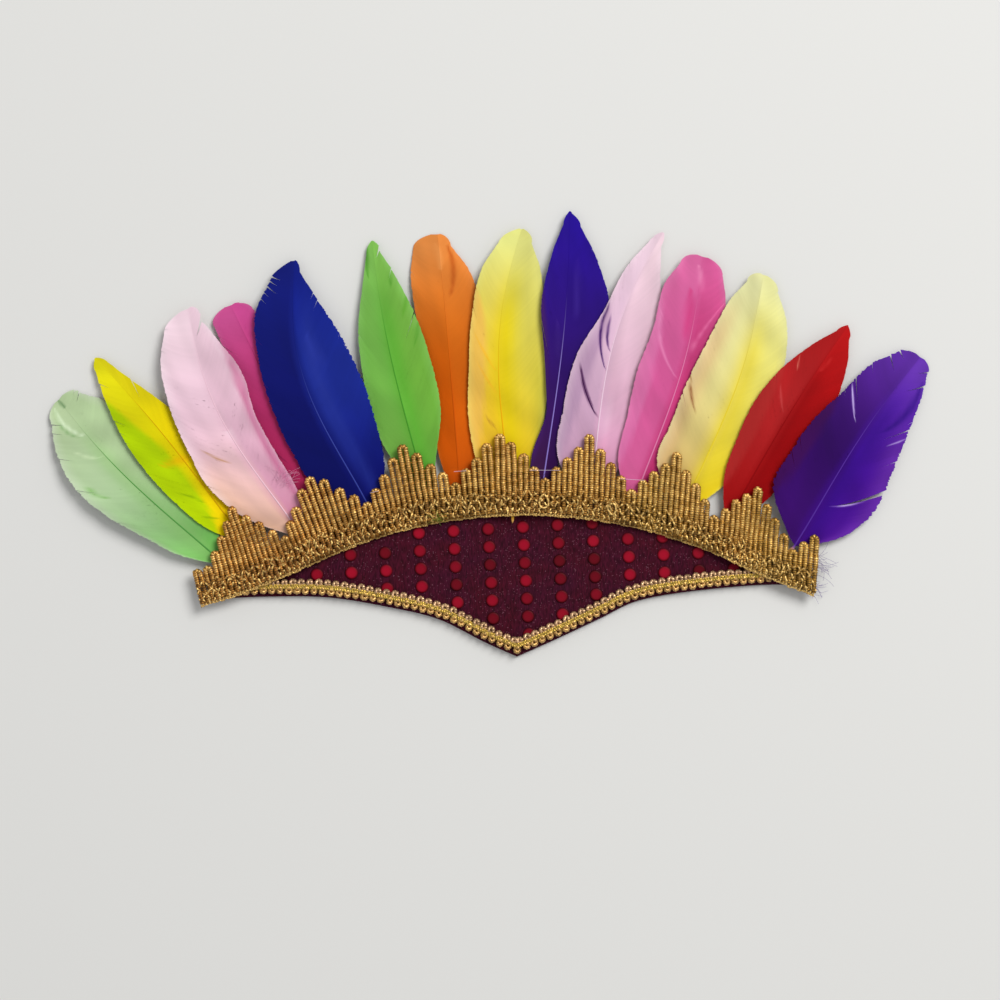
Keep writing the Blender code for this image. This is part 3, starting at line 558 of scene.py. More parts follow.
# %% Marks on the vanes
# Marks where barbs part and what lies below shows, painted shade along folds and painted highlights
# where barbs catch the light: x and y of three points and the half width in millimetres, colour, strength
MARKS = {
    "mint": (
        (-224.2, 82.3, -219.1, 74, -209, 68.5, 0.9, (216, 234, 198), 0.75),
        (-221.9, 74.9, -218.2, 70.8, -212.7, 68, 0.7, (116, 158, 98), 0.55),
        (-222.8, 86.4, -221, 84.3, -219.1, 82.7, 0.8, (90, 126, 80), 0.7),
        (-213.6, 61.1, -208.1, 58.8, -202.6, 58.4, 0.8, (208, 228, 182), 0.65),
        (-209, 45.1, -203.5, 40.9, -198, 39.1, 0.8, (118, 172, 88), 0.6),),
    "lime": (
        (-164, 41.4, -157.6, 40, -153, 37.3, 0.6, (120, 154, 0), 0.6),
        (-153, 30.4, -148.9, 30.1, -144.8, 29.5, 0.6, (120, 150, 0), 0.5),
        (-171.4, 54.7, -165, 57, -158.5, 58.4, 2.4, (236, 166, 0), 0.5),),
    "blush": (
        (-150.7, 61.1, -145.7, 58.2, -139.7, 56.5, 0.7, (190, 140, 104), 0.7),
        (-140.2, 71.2, -138.3, 66.6, -136.5, 62.1, 0.8, (240, 214, 222), 0.5),),
    "magenta": (
        (-124.1, 67.1, -119, 62.1, -113.5, 57.5, 0.7, (112, 28, 66), 0.6),),
    "blue": (
        (-103, 117.2, -98.8, 109.8, -93.8, 101.5, 2.6, (46, 60, 166), 0.5),),
    "green": (
        (-73.8, 160.1, -74.2, 153.9, -73.6, 145.9, 1.0, (66, 138, 34), 0.65),
        (-63.4, 147.8, -62.7, 144.4, -62.3, 141.1, 0.8, (80, 150, 44), 0.6),
        (-54.5, 138.7, -55.2, 133.1, -56.8, 126.4, 1.2, (92, 164, 44), 0.55),
        (-49.2, 124.5, -49.7, 119.8, -50.9, 113.1, 1.1, (84, 156, 44), 0.5),),
    "orange": (
        (-35.7, 161, -32.7, 150.1, -34, 136.4, 1.3, (184, 84, 22), 0.8),
        (-40.9, 161.5, -39.3, 155.8, -38.5, 149.2, 1.6, (240, 160, 90), 0.55),),
    "yellow": (
        (-21.5, 116.9, -17.7, 109.3, -12.4, 100.3, 0.6, (244, 176, 30), 0.5),
        (-20.5, 103.6, -16.7, 97, -12.2, 89.9, 0.6, (244, 176, 40), 0.45),
        (-17.2, 78.5, -14.6, 75.6, -11.5, 72.8, 0.6, (180, 124, 44), 0.6),),
    "violet": (
        (26.5, 153.9, 26.8, 138.7, 25.8, 123.6, 1.4, (72, 52, 156), 0.4),
        (17.5, 123.6, 17.5, 114.1, 16.5, 106.5, 1.2, (66, 40, 132), 0.4),),
    "pink": (
        (28.7, 102.7, 30.9, 90.8, 36.2, 79, 0.75, (58, 18, 64), 1.0),
        (42.5, 131.6, 38, 117.9, 40.2, 101.3, 0.7, (52, 16, 84), 0.95),
        (43.8, 126.4, 41.5, 118.3, 42, 110.8, 0.6, (52, 16, 84), 0.9),
        (44, 91.3, 42.6, 79.9, 40.7, 68.5, 1.3, (244, 216, 232), 0.5),),
    "rose": (
        (67.7, 129.3, 66.9, 113.6, 73.8, 97.5, 0.8, (236, 146, 190), 0.6),
        (77.5, 98, 83.4, 113.6, 97.1, 132.2, 0.8, (236, 124, 172), 0.65),
        (81.4, 139.1, 80.6, 127.3, 78.7, 114.6, 2.2, (206, 44, 112), 0.5),
        (85.3, 150.9, 86.3, 145, 86.5, 138.1, 1.2, (234, 148, 186), 0.55),),
    "cream": (
        (81.2, 98, 81.3, 90.1, 83.1, 81.3, 0.7, (140, 88, 52), 0.85),),
    "red": (
        (124.2, 93.1, 124.5, 87.7, 125.2, 82.3, 0.7, (204, 84, 82), 0.5),
        (132.4, 102.4, 132.9, 104, 133.7, 106.3, 0.6, (226, 140, 116), 0.7),
        (143.8, 100.4, 146.8, 103.8, 149.7, 107.3, 0.8, (204, 60, 56), 0.35),),
    "purple": (
        (158.8, 94.5, 159.1, 86.2, 159.8, 77.4, 0.55, (206, 190, 236), 0.9),
        (192.6, 95, 186.4, 81.3, 173.7, 71, 1.6, (40, 8, 112), 0.65),
        (177.1, 65, 181, 66.2, 185.3, 68, 0.5, (196, 178, 230), 0.75),
        (151.2, 35.5, 158, 36.4, 165.9, 38.6, 0.6, (214, 204, 238), 0.85),),
}
print(sum(map(len, MARKS.values())), "marks")

# %% Lay the colours on a vane
HALVES_BLEND, UNDER_BLEND, UNDER_SHOW = 0.004, 0.003, 0.85
# Shares where the core fades at the foot and at the tip, where the rim starts, and the veil's fading
CORE_FOOT, CORE_TIP, CORE_FADE, RIM_START, VEIL_FADE = 0.12, 0.92, 0.3, 0.78, 0.25
MARK_POINTS = 60


def mixed(shown, tone, amount):
    """The shown colours with a tone laid over them, by an amount from 0 to 1."""
    return shown * (1 - amount[..., None]) + np.array(tone) * amount[..., None]


def marked(shown, feather, place):
    """Colours with the feather's marks, painted shade and highlights among them. A mark follows the
    parabola through its three points at u = 0, 1/2 and 1, its width is greatest halfway, and it fades in
    a bell curve of the distance."""
    u = np.linspace(0, 1, MARK_POINTS)[:, None]
    swell = 0.3 + 0.7 * np.sin(np.pi * u[:, 0])
    for *numbers, width, tone, strength in MARKS.get(feather.colour, ()):
        a, b, c = np.array(numbers).reshape(3, 2) / 1000
        curve = 2 * (u - 0.5) * (u - 1) * a + 4 * u * (1 - u) * b + 2 * u * (u - 0.5) * c
        gap = np.linalg.norm(place[..., None, :] - curve, axis=-1) / swell
        shown = mixed(shown, tone, strength * np.exp(-((gap.min(axis=-1) * 1000 / width) ** 2)))
    return shown


def dyed_and_shaded(feather, t, offset, share, barb_shade):
    """Colour of the vane at share t: the table's three stops, mixed with the tint where the lower
    neighbour lies beneath, with the core's colour in a bell curve beside the quill, which on the blue
    feather is a painted highlight, with the veil's colour towards the edge of one half, with the rim's
    colour on the outer fifth of each barb and with the marks, painted shade and highlights among them,
    times one plus barb_shade, each barb's random streaks and blotches."""
    dye = DYES[feather.colour]
    left, right = [np.stack([smooth(DYE_PLACES, [c[i] for c in dye[half]], t) for i in range(3)], -1)
                   for half in ("left", "right")]
    shown = mixed(left, right, ease(0.5 + offset / HALVES_BLEND))
    if "under" in dye:
        inside = feathers[dye["under"]].locate(feather.place(t, offset))[2]
        shown = mixed(shown, dye["tint"], UNDER_SHOW * ease(0.5 + inside / UNDER_BLEND))
    if "core" in dye:
        tone, centre, spread, strength = dye["core"]
        bell = strength * np.exp(-((offset - centre) / spread) ** 2)
        shown = mixed(shown, tone, bell * ease(t / CORE_FOOT) * ease((CORE_TIP - t) / CORE_FADE))
    if "veil" in dye:
        tone, strength, half, start, top = dye["veil"]
        near = strength * ease((share - start) / (1 - start)) * (offset * half > 0)
        shown = mixed(shown, tone, near * ease((top - t) / VEIL_FADE))
    if "rim" in dye:
        tone, strength = dye["rim"]
        shown = mixed(shown, tone, strength * ease((share - RIM_START) / (1 - RIM_START)))
    shown = marked(shown, feather, feather.place(t, offset))
    return linear(np.clip(shown * (1 + barb_shade)[..., None], 0, 255))


# %% [markdown]
# ## Barbs
#
# A barb leaves the quill steeply and bends towards the tip. Its middle line is given as share of the
# length and offset from the quill, and both go through the feather's own surface. Neighbouring
# barbs gather in clumps towards the edge, which gives the small notches, and at a slit they part. Hair
# strands would split as well, but each barb as a strip has a width, so the vane stays closed.

# %% Barb sizes
BARBS, BARB_RINGS, BARB_FIRST, BARB_LAST = 300, 9, 0.004, 0.994
BARB_SWEEP, BARB_BEND, BARB_SPREAD = 0.20, 1.25, 0.85
BARB_OVERLAP, BARB_SHINGLE, BARB_MARGIN, BARB_BACK = 1.9, 0.000015, 0.00003, 0.00014
BARB_WAVER, FINE_WAVER, BARB_JITTER = 0.00014, 0.00002, 0.000004
STREAK, FINE_STREAK, BLOTCH, FINE_BLOTCH = 0.03, 0.012, 0.045, 0.03
CLUMPS, CLUMP_NARROW, CLUMP_WIDE, CLUMP_PULL = 40, 0.025, 0.075, 0.022
VANE_LIFT = 0.0002
QUILL_RINGS, QUILL_SIDES, QUILL_REACH, QUILL_SINK = 110, 8, 0.985, 0.35
QUILL_FOOT, QUILL_END = 0.0005, 0.00010
# The bare quill below the vane is thicker, cut to a point and the colour of horn
BARE_RADIUS, BARE_END, BARE_POINT = 0.0015, 0.0002, 0.0035
HORN = (206, 156, 88)

# %% Slits and rags
# Slits and rags that the photo shows: (side, share where it opens on the outline, width, reach)
SLITS = {
    "mint": (
        (-1, 0.94, 0.009, 0.012), (-1, 0.91, 0.007, 0.012), (-1, 0.81, 0.007, 0.02),
        (-1, 0.66, 0.008, 0.02), (1, 0.96, 0.008, 0.02)),
    "lime": ((1, 0.83, 0.016, 0.02), (-1, 0.90, 0.008, 0.02)),
    "blush": ((1, 0.94, 0.030, 0.04),),
    "magenta": ((-1, 0.85, 0.008, 0.02), (-1, 0.30, 0.014, 0.02)),
    "blue": (
        (-1, 0.965, 0.009, 0.006), (-1, 0.950, 0.007, 0.005), (-1, 0.932, 0.009, 0.006),
        (-1, 0.915, 0.006, 0.005), (-1, 0.895, 0.006, 0.006), (1, 0.86, 0.006, 0.015)),
    "green": ((1, 0.965, 0.022, 0.012), (1, 0.88, 0.008, 0.015), (1, 0.70, 0.010, 0.02)),
    "violet": ((-1, 0.62, 0.008, 0.02),),
    "purple": (
        (-1, 0.97, 0.010, 0.010), (-1, 0.93, 0.012, 0.010), (1, 0.96, 0.010, 0.010),
        (-1, 0.76, 0.010, 0.02), (1, 0.90, 0.014, 0.02), (1, 0.70, 0.012, 0.02), (1, 0.41, 0.030, 0.02)),
}
# Share of the half width that the barbs' ends vary by
EVEN_RAG = 0.018
RAGGED = {"blue": 0.028, "purple": 0.03, "mint": 0.03}
print(sum(map(len, SLITS.values())), "slits")


# %% Lines of the barbs
def barb_lines(feather, sign, seed):
    """Middle lines of one side's barbs: share = start + (end - start) s^1.25 and offset = width s^0.85,
    with s from 0 at the quill to 1 on the outline. Gives shares, offsets, evenly spread shares and s."""
    rng = np.random.default_rng(seed)
    start = np.linspace(BARB_FIRST, BARB_LAST, BARBS)
    sweep = BARB_SWEEP * (0.12 + 0.88 * ease(start / 0.22)) * (1 - start ** 3)
    even = start + sweep
    centres = np.cumsum(rng.uniform(CLUMP_NARROW, CLUMP_WIDE, CLUMPS))
    nearest = centres[np.abs(even[:, None] - centres[None]).argmin(axis=1)]
    pull = CLUMP_PULL * (1 + np.sin(nearest * 970.0)) ** 2
    end = even + pull * (nearest - even) * ease(even / 0.2)
    for side, place, width, reach in SLITS.get(feather.colour, ()):
        if side == sign:
            gap = even - place
            end = end + 0.5 * width * np.sign(gap) * np.exp(-np.abs(gap) / reach)
    end = np.minimum(end, 0.999)
    rag = RAGGED.get(feather.colour, EVEN_RAG)
    cut = 1 - 0.4 * rag * rng.random(BARBS) ** 2 - rag * np.abs(wander(even, 0.012, seed + 1))
    s = np.linspace(0, 1, BARB_RINGS)[None]
    share = start[:, None] + (end - start)[:, None] * s ** BARB_BEND
    even_share = start[:, None] + (even - start)[:, None] * s ** BARB_BEND
    offset = sign * (feather.half_width(even, sign) * cut)[:, None] * s ** BARB_SPREAD
    return share, offset, even_share, s


def vane_normals(surface, faces, top_side):
    """Normals of the whole vane for its strips, so that light flows over it as over satin. The vane's
    normal is the cross product of its slopes along and across the barbs. The strips' faces on top get
    it, and the others its opposite."""
    normal = np.cross(np.gradient(surface, axis=0), np.gradient(surface, axis=1))
    normal *= np.sign(normal[..., 2:])
    normal /= np.maximum(np.linalg.norm(normal, axis=2, keepdims=True), 1e-12)
    each = np.repeat(normal.reshape(-1, 3), 3, axis=0)
    walls, near, far = faces
    way = np.where(np.arange(len(walls)) % 3 == top_side, 1.0, -1.0)[:, None, None]
    return [(each[walls] * way).reshape(-1, 3), np.zeros((near.size, 3)), np.zeros((far.size, 3))]


# %% Make a vane and a quill
def make_vane(heap, feather, sign, seed):
    """Adds one side's barbs: strips of three corners, the edge towards the foot low, the other high."""
    share, offset, even, s = barb_lines(feather, sign, seed)
    middle = feather.place(share, offset)
    square = square_to(middle, axis=1) * -sign
    spacing = np.abs((np.gradient(feather.place(even, offset), axis=0) * square).sum(-1))
    half = (0.5 * spacing * BARB_OVERLAP * (1 - 0.35 * s ** 6) + BARB_MARGIN)[..., None] * square
    count = np.arange(BARBS)
    waver = BARB_WAVER * wander(count, 26, seed + 3) + FINE_WAVER * wander(count, 7, seed + 6)
    jitter = np.random.default_rng(seed + 7).uniform(-1, 1, (BARBS, 1)) * BARB_JITTER
    z = feather.height(middle, share, offset) + VANE_LIFT + waver[:, None] * s ** 1.5 + jitter
    low, high = raised(middle - half, z - BARB_SHINGLE), raised(middle + half, z + BARB_SHINGLE)
    back = raised(middle, z - BARB_BACK)
    points = np.stack((low, high, back) if sign > 0 else (low, back, high), axis=2)
    faces = grid_faces(BARBS, BARB_RINGS, 3)
    normals = vane_normals(raised(middle, z - jitter), faces, 0 if sign > 0 else 2)
    streak = STREAK * wander(count, 22, seed + 4) + FINE_STREAK * wander(count, 3, seed + 5)
    run = even * feather.length
    shade = streak[:, None] * (0.4 + 0.6 * s) + BLOTCH * wander(run + 0.6 * offset, 0.011, seed + 8)
    shade = shade + FINE_BLOTCH * wander(offset + 0.2 * run, 0.0045, seed + 9)
    colour = dyed_and_shaded(feather, share, offset, np.broadcast_to(s, share.shape), shade)
    heap.add(points, faces, colour[:, :, None], normals)


def make_quill(heap, feather):
    """Adds the quill: a round tube that thins from its foot to its tip, proud of the vane."""
    t = np.linspace(-feather.tail, QUILL_REACH, QUILL_RINGS)
    none = np.zeros_like(t)
    line = feather.place(t, none)
    radius = QUILL_FOOT + (QUILL_END - QUILL_FOOT) * np.clip(t, 0, 1) ** 0.8
    z = feather.height(line, t, none) + VANE_LIFT - QUILL_SINK * radius
    bare = ease(-t * feather.length / BARE_POINT)
    pointed = np.clip((t + feather.tail) * feather.length / BARE_POINT, 0, 1)
    radius = radius * (1 - bare) + (BARE_END + (BARE_RADIUS - BARE_END) * pointed) * bare
    points, faces, _ = tubes(raised(line, z)[None], radius[None], QUILL_SIDES)
    dye = DYES[feather.colour]
    fade = ease((t - dye.get("fade", QUILL_FADE)) / QUILL_BLEND)
    vane = dyed_and_shaded(feather, t, none, none, none)
    colour = mixed(mixed(linear(dye["quill"]), vane, fade), linear(HORN), bare)
    heap.add(points, faces, colour[None, :, None])


# %% Make the feathers
def attribute_material(name, **values):
    """A material that takes its base colour from the piece's dye attribute."""
    material, tree, shader = principled(name, **values)
    dye = add_node(tree, "ShaderNodeAttribute", attribute_name="dye")
    set_up(tree, shader, Base_Color=dye.outputs["Color"])
    return material


feather_material = attribute_material("feather_dye_and_shade", Roughness=0.6, Specular_IOR_Level=0.06)

for number, feather in enumerate(feathers.values()):
    heap = Heap()
    make_quill(heap, feather)
    make_vane(heap, feather, -1, 100 * number + 11)
    make_vane(heap, feather, 1, 100 * number + 51)
    heap.piece(feather.name + "_vanes", feather_material, feather.name, "feather_" + feather.colour)

# %% [markdown]
# ## Gold cord
#
# Lace and gimp are both made of gold lurex: a flat metallic film twisted round a core. Two strands
# wound round each other catch the light once every half turn, which is the row of glints on every leg.
# The twist is real shape here, and its glints and furrows are also painted into the colour. The finish,
# one node group that both golds use, adds the film's small scratches, with painted shade in its creases
# and painted highlights on its ridges.


# %% Gold finish
def make_lurex_group():
    """Creased metal film: takes a colour and a scale, gives the colour with painted shade in the creases
    and painted highlights on the ridges, the roughness and the height.
    """
    group = bpy.data.node_groups.new("creased_lurex", "ShaderNodeTree")
    for name, way, kind in (("Colour", "INPUT", "Color"), ("Scale", "INPUT", "Float"),
                            ("Colour", "OUTPUT", "Color"), ("Roughness", "OUTPUT", "Float"),
                            ("Height", "OUTPUT", "Float")):
        group.interface.new_socket(name, in_out=way, socket_type="NodeSocket" + kind)
    given = add_node(group, "NodeGroupInput")
    place = add_node(group, "ShaderNodeTexCoord")
    fine = add_node(group, "ShaderNodeTexNoise", Vector=place.outputs["Object"],
                    Scale=given.outputs["Scale"], Detail=3.0, Roughness=0.65)
    crease = fine.outputs["Fac"]
    # Painted shade in the creases and painted highlights on the ridges of the film
    shade = ranged(group, crease, 0.35, 0.65, 0.45, 1.25)
    add_node(group, "NodeGroupOutput", Colour=scaled(group, given.outputs["Colour"], shade),
             Roughness=ranged(group, crease, 0.3, 0.7, 0.5, 0.22), Height=crease)
    return group


lurex_group = make_lurex_group()


def lurex(name, scale, metal, bump):
    """A gold made of the dye attribute, the creased film group and a bump from its height."""
    material, tree, shader = principled(name, Metallic=metal)
    dye = add_node(tree, "ShaderNodeAttribute", attribute_name="dye")
    film = add_node(tree, "ShaderNodeGroup", node_tree=lurex_group, Scale=scale,
                    Colour=dye.outputs["Color"])
    relief = add_node(tree, "ShaderNodeBump", Strength=1.0, Distance=bump, Height=film.outputs["Height"])
    set_up(tree, shader, Base_Color=film.outputs["Colour"], Roughness=film.outputs["Roughness"],
           Normal=relief.outputs["Normal"])
    return material


lace_gold = lurex("lace_gold", 1500.0, 0.65, 0.0002)
gimp_gold = lurex("gimp_gold", 1200.0, 0.55, 0.00012)
print("golds share", lurex_group.name)

# %% [markdown]
# ## The lace and what it lies on
#
# The lace is soft, so it lies over the quills and vanes that it holds down. Its height is worked out
# once on a coarse grid: the top of whatever is below, widened to the neighbours so that no cord dips
# into a feather's edge, and then averaged. Every cord of the lace reads its height from this grid.

# %% Lace sizes and drape
LACE_FOOT, LACE_LOOP, LACE_CORD = 0.014, 0.00515, 0.00175
FIRST_LOOP, LAST_LOOP, LOOPS_PER_SCALLOP = -33, 26, 8
VALLEY_PLACE, LACE_VALLEY = 0.0096, 0.018
LEFT_LEAN, RIGHT_LEAN = 0.8, 0.2
DRAPE_STEP, DRAPE_EDGES, DRAPE_MARGIN = 0.0025, 4, 0.0025
BRAID_WIDTH, BRAID_INSET, BRAID_PITCH, BRAID_CROWN = 0.0072, 0.0013, 0.0041, 0.0022
BRAID_BOTTOM = PAD_THICKNESS + SEQUIN_RAISE + GAP


def lean_point(s, height):
    """A point of the lace: up from the arch along the loops' own lean."""
    s, height = np.broadcast_arrays(np.asarray(s, float), np.asarray(height, float))
    point, turn = arc_point(s)
    lean = turn * np.where(s < 0, LEFT_LEAN, RIGHT_LEAN)
    return point + height[..., None] * np.stack([np.sin(lean), np.cos(lean)], -1)


def neighbours(grid, along, across):
    """The grid moved by every step up to along and across, with its edge values carried on."""
    wide = np.pad(grid, ((along, along), (across, across)), mode="edge")
    return np.array([wide[i:i + grid.shape[0], j:j + grid.shape[1]] for i in range(2 * along + 1)
                     for j in range(2 * across + 1)])


drape_s = VALLEY_PLACE + LACE_LOOP / 4 * np.arange(4 * FIRST_LOOP - 4, 4 * LAST_LOOP + 5)
drape_h = DRAPE_STEP * np.arange(-1, int(LACE_PEAK / DRAPE_STEP) + 3)
drape_points = lean_point(drape_s[:, None], drape_h[None])
braid_top = edge_height(drape_points[..., 0]) + BRAID_INSET + BRAID_WIDTH
over_braid = drape_points[..., 1] < braid_top + DRAPE_MARGIN
drape_tops = np.where(over_braid, BRAID_BOTTOM + BRAID_CROWN, PAD_THICKNESS + SEQUIN_RAISE)
for feather in feathers.values():
    drape_tops = np.maximum(drape_tops, feather.top_at(drape_points))
drape_tops = neighbours(drape_tops, DRAPE_EDGES, 1).max(axis=0)
drape_grid = neighbours(drape_tops, DRAPE_EDGES, 0).mean(axis=0) + GAP
print("lace lies between", round(drape_grid.min(), 4), "and", round(drape_grid.max(), 4), "m")


def drape(s, height):
    """Height of the lace's under side, read between the corners of the drape grid."""
    i = np.clip((s - drape_s[0]) / (drape_s[1] - drape_s[0]), 0, len(drape_s) - 1.001)
    j = np.clip((height - drape_h[0]) / DRAPE_STEP, 0, len(drape_h) - 1.001)
    a, b = i.astype(int), j.astype(int)
    u, v = i - a, j - b
    near = drape_grid[a, b] * (1 - v) + drape_grid[a, b + 1] * v
    far = drape_grid[a + 1, b] * (1 - v) + drape_grid[a + 1, b + 1] * v
    return near * (1 - u) + far * u


def lace_lines(s, height, lift):
    """Lines in space from lines in the lace's own coordinates, lift above its under side."""
    return raised(lean_point(s, height), drape(s, height) + lift)


# %% [markdown]
# ## Loops of the lace
#
# One cord runs up, round and down for each loop. The heads rise from a valley to a peak and fall
# again every eight loops, which makes the scallops. A bevelled curve for each loop would be round and
# plain, so the cord is a grid of rings here, whose radius follows its twist and its stitches. A loop's
# middle line is two straight legs and a half circle, and all loops of one height are made at once.

# %% Sizes, line and gold of a loop
LEG_START, CORD_STEP = 0.0012, 0.00027
CORD_RADIUS, CORD_SIDES, CORD_STRANDS = 0.00135, 7, 2
TWIST_LAY, TWIST_DEPTH, STITCH_STEP = 0.0026, 0.12, 0.00108
# How far the loops differ: stretch as a share, the others in metres at the head
LOOP_STRETCH, LOOP_LEAN, FIRST_LEAN, LOOP_WAVE, LOOP_RISE = 0.05, 0.0009, 0.003, 0.00013, 0.0003
# Glint of the stitches, and the shade that the woven foot throws on the legs
GLINT, GLINT_SWING = 1.38, 0.5
FOOT_SHADE, SHADE_FROM, SHADE_RUN = 0.4, 0.009, 0.007
GOLD_GREEN = linear((250, 186, 74))
GOLD_WARM = linear((252, 168, 64))
# Pale gold for the painted highlights, and for the painted sky reflection of the flat strips
GOLD_HIGHLIGHT = linear((255, 214, 130))


def loop_height(k):
    """Height of loop k, evenly up and down between the valley and the peak of its scallop."""
    half_scallop = LOOPS_PER_SCALLOP / 2
    share = 1 - np.abs(k % LOOPS_PER_SCALLOP - half_scallop) / half_scallop
    return LACE_VALLEY + (LACE_PEAK - LACE_VALLEY) * share


def loop_line(height):
    """Middle line of one loop: up a leg, round a half circle of radius a, and down the other leg."""
    a = LACE_LOOP / 4
    leg = height - LACE_CORD / 2 - a - LEG_START
    total = 2 * leg + math.pi * a
    run = np.linspace(0, total, int(total / CORD_STEP))
    turn = np.clip((run - leg) / a, 0, math.pi)
    down = np.maximum(run - leg - math.pi * a, 0)
    return -a * np.cos(turn), LEG_START + np.minimum(run, leg) + a * np.sin(turn) - down


def gilded(tone, shade, strength):
    """The tone times painted shade and strength, which never pass 1, turning into a pale painted
    highlight where they come near it.
    """
    level = np.minimum(shade * strength, 1.0)
    pale = ease((level - 0.5) / 0.5) * 0.8
    return (tone * (1 - pale) + GOLD_HIGHLIGHT * pale) * level


def gold_tone(s, seed):
    """Gold along the lace: warm at the left, greener where it wanders, darker or brighter by place."""
    warm = np.clip(0.5 - s / 0.3 + 0.35 * wander(s, 0.02, seed), 0, 1)[..., None]
    tone = GOLD_GREEN * (1 - warm) + GOLD_WARM * warm
    return tone * (1 + 0.12 * wander(s, 0.004, seed + 1))[..., None]


# %% Make the loops
rng = np.random.default_rng(3)
loops = np.arange(FIRST_LOOP, LAST_LOOP + 1)
heap = Heap()
heights = np.where(loops == FIRST_LOOP, LACE_VALLEY, loop_height(loops))
for height in np.unique(heights):
    same = loops[heights == height]
    across, up = loop_line(height)
    reach = ((up - LACE_FOOT) / height).clip(0, 1)
    stretch = 1 + rng.uniform(-LOOP_STRETCH, LOOP_STRETCH, (len(same), 1)) * reach
    lean = rng.uniform(-1, 1, (len(same), 1)) * LOOP_LEAN * reach ** 1.5
    lean = lean - FIRST_LEAN * (same[:, None] == FIRST_LOOP) * reach
    wave = wander(up[None] + 0.37 * same[:, None], 0.006, 5) * LOOP_WAVE
    s = VALLEY_PLACE + same[:, None] * LACE_LOOP + across[None] + lean + wave
    h = up[None] * stretch
    rise = rng.uniform(0, LOOP_RISE, (len(same), 1)) * reach
    points, faces, shade = tubes(lace_lines(s, h, LACE_CORD / 2 + rise), CORD_RADIUS, CORD_SIDES,
                                 CORD_STRANDS, TWIST_DEPTH, TWIST_LAY, bead=STITCH_STEP)
    # Painted glints along the stitches, and the painted shadow that the woven foot throws on the legs
    glint = GLINT + GLINT_SWING * wander(up[None] + 0.0137 * same[:, None], STITCH_STEP, 31)
    glint = glint * (FOOT_SHADE + (1 - FOOT_SHADE) * ease((h - SHADE_FROM) / SHADE_RUN))
    heap.add(points, faces, gilded(gold_tone(s, 21)[:, :, None], shade, glint[:, :, None, None]))
heap.piece("lace_loops", lace_gold, "crown_lace", "gold_lace")

# %% [markdown]
# ## Foot of the lace
#
# Below the loops the legs are woven together with flat strips of lurex: rows of zigzags that cross
# in diamonds, a small ring now and then, and a row of tiny picots along the lower edge. A repeated tile
# of weave would be quicker, but each row is one long line with a wandering zigzag here, so no two
# diamonds are alike, as in the loose real weave.

# %% Sizes and zigzags of the foot
FOOT_MARGIN = 0.45
LACE_START = VALLEY_PLACE + (FIRST_LOOP - FOOT_MARGIN) * LACE_LOOP
LACE_END = VALLEY_PLACE + (LAST_LOOP + FOOT_MARGIN) * LACE_LOOP
STRIP = 0.00042
# Zigzag rows: middle height, half swing, pitch in loops, start of the pattern, lift over the legs
ZIGZAGS = ((0.0112, 0.0020, 1.0, 0.0, 0.0008), (0.0084, 0.0034, 2.0, 0.1, 0.0013),
           (0.0078, 0.0034, 2.0, 0.6, 0.0014), (0.0042, 0.0026, 1.0, 0.3, 0.0010),
           (0.0026, 0.0014, 0.67, 0.8, 0.0008))
ZIGZAG_POINTS, WHIRL_POINTS = 1000, 26
# Rings: place along the arch, middle height, half width and half height
RINGS = ((0.0090, 0.0066, 0.0022, 0.0032), (0.0415, 0.0070, 0.0020, 0.0026))
PICOT, PICOT_RISE = 0.0017, 0.0011
STRIP_SIDES, STRIP_FLAT, STRIP_GLINT = 6, 0.6, 1.7
# Loose snippets of strip: ranges of their start, base, slope, bend, rise and height over the legs
SNIPPETS = 170
SNIPPET_RANGES = ((LACE_START + 0.004, LACE_END - 0.004), (0.002, 0.011), (-0.0035, 0.0035),
                  (-0.0010, 0.0010), (0.0020, 0.0042), (0.0004, 0.0011))


def foot_tone(s, seed):
    """The lace's gold, paler, since flat strips mirror the sky more than twisted cord: a painted
    reflection of the sky.
    """
    return 0.45 * gold_tone(s, seed) + 0.55 * GOLD_HIGHLIGHT


def zigzag(s, row, seed):
    """Height of a zigzag row: middle + swing times a rounded triangle wave, both wandering a little."""
    middle, swing, pitch, start = row
    phase = s / (pitch * LACE_LOOP) + start + 0.22 * wander(s, 0.009, seed)
    wave = np.arcsin(0.96 * np.sin(2 * np.pi * phase)) / (np.pi / 2)
    own_swing = swing * (1 + 0.35 * wander(s, 0.007, seed + 1))
    return middle + own_swing * wave + 0.0006 * wander(s, 0.004, seed + 2)


def weave(s, h, lift, thickness, seed, sides=STRIP_SIDES, flat=STRIP_FLAT, bead=0.0):
    """Adds strips to the heap along lines of the lace, lift above its under side."""
    points, faces, shade = tubes(lace_lines(s, h, lift), STRIP * thickness, sides, flat=flat, bead=bead)
    # Painted shade of the strips, turning into pale painted highlights where it is brightest
    heap.add(points, faces, gilded(foot_tone(s, seed)[:, :, None], shade, STRIP_GLINT))


# %% Make the woven foot
heap = Heap()
s = np.linspace(LACE_START, LACE_END, ZIGZAG_POINTS)[None]
for number, (*row, over) in enumerate(ZIGZAGS):
    h = zigzag(s, row, 40 + 5 * number)
    lift = LACE_CORD / 2 + over * (0.6 + 0.5 * np.sin(s * 2 * np.pi / (LACE_LOOP / 2) + number))
    weave(s, h, lift, 1.15, 60 + number, bead=0.0021)

turn = np.linspace(0, 2 * np.pi, 13)[None]
picots = np.arange(LACE_START, LACE_END - PICOT, PICOT)[:, None]
s = picots + PICOT * 0.6 * np.sin(turn) + PICOT * turn / (2 * np.pi)
h = 0.0012 - PICOT_RISE * np.cos(turn) + 0.0004 * wander(picots * 7, 0.01, 33)
weave(s, h, LACE_CORD * 0.6 + 0.0003 * np.sin(turn), 1, 71, flat=1.0, bead=PICOT)

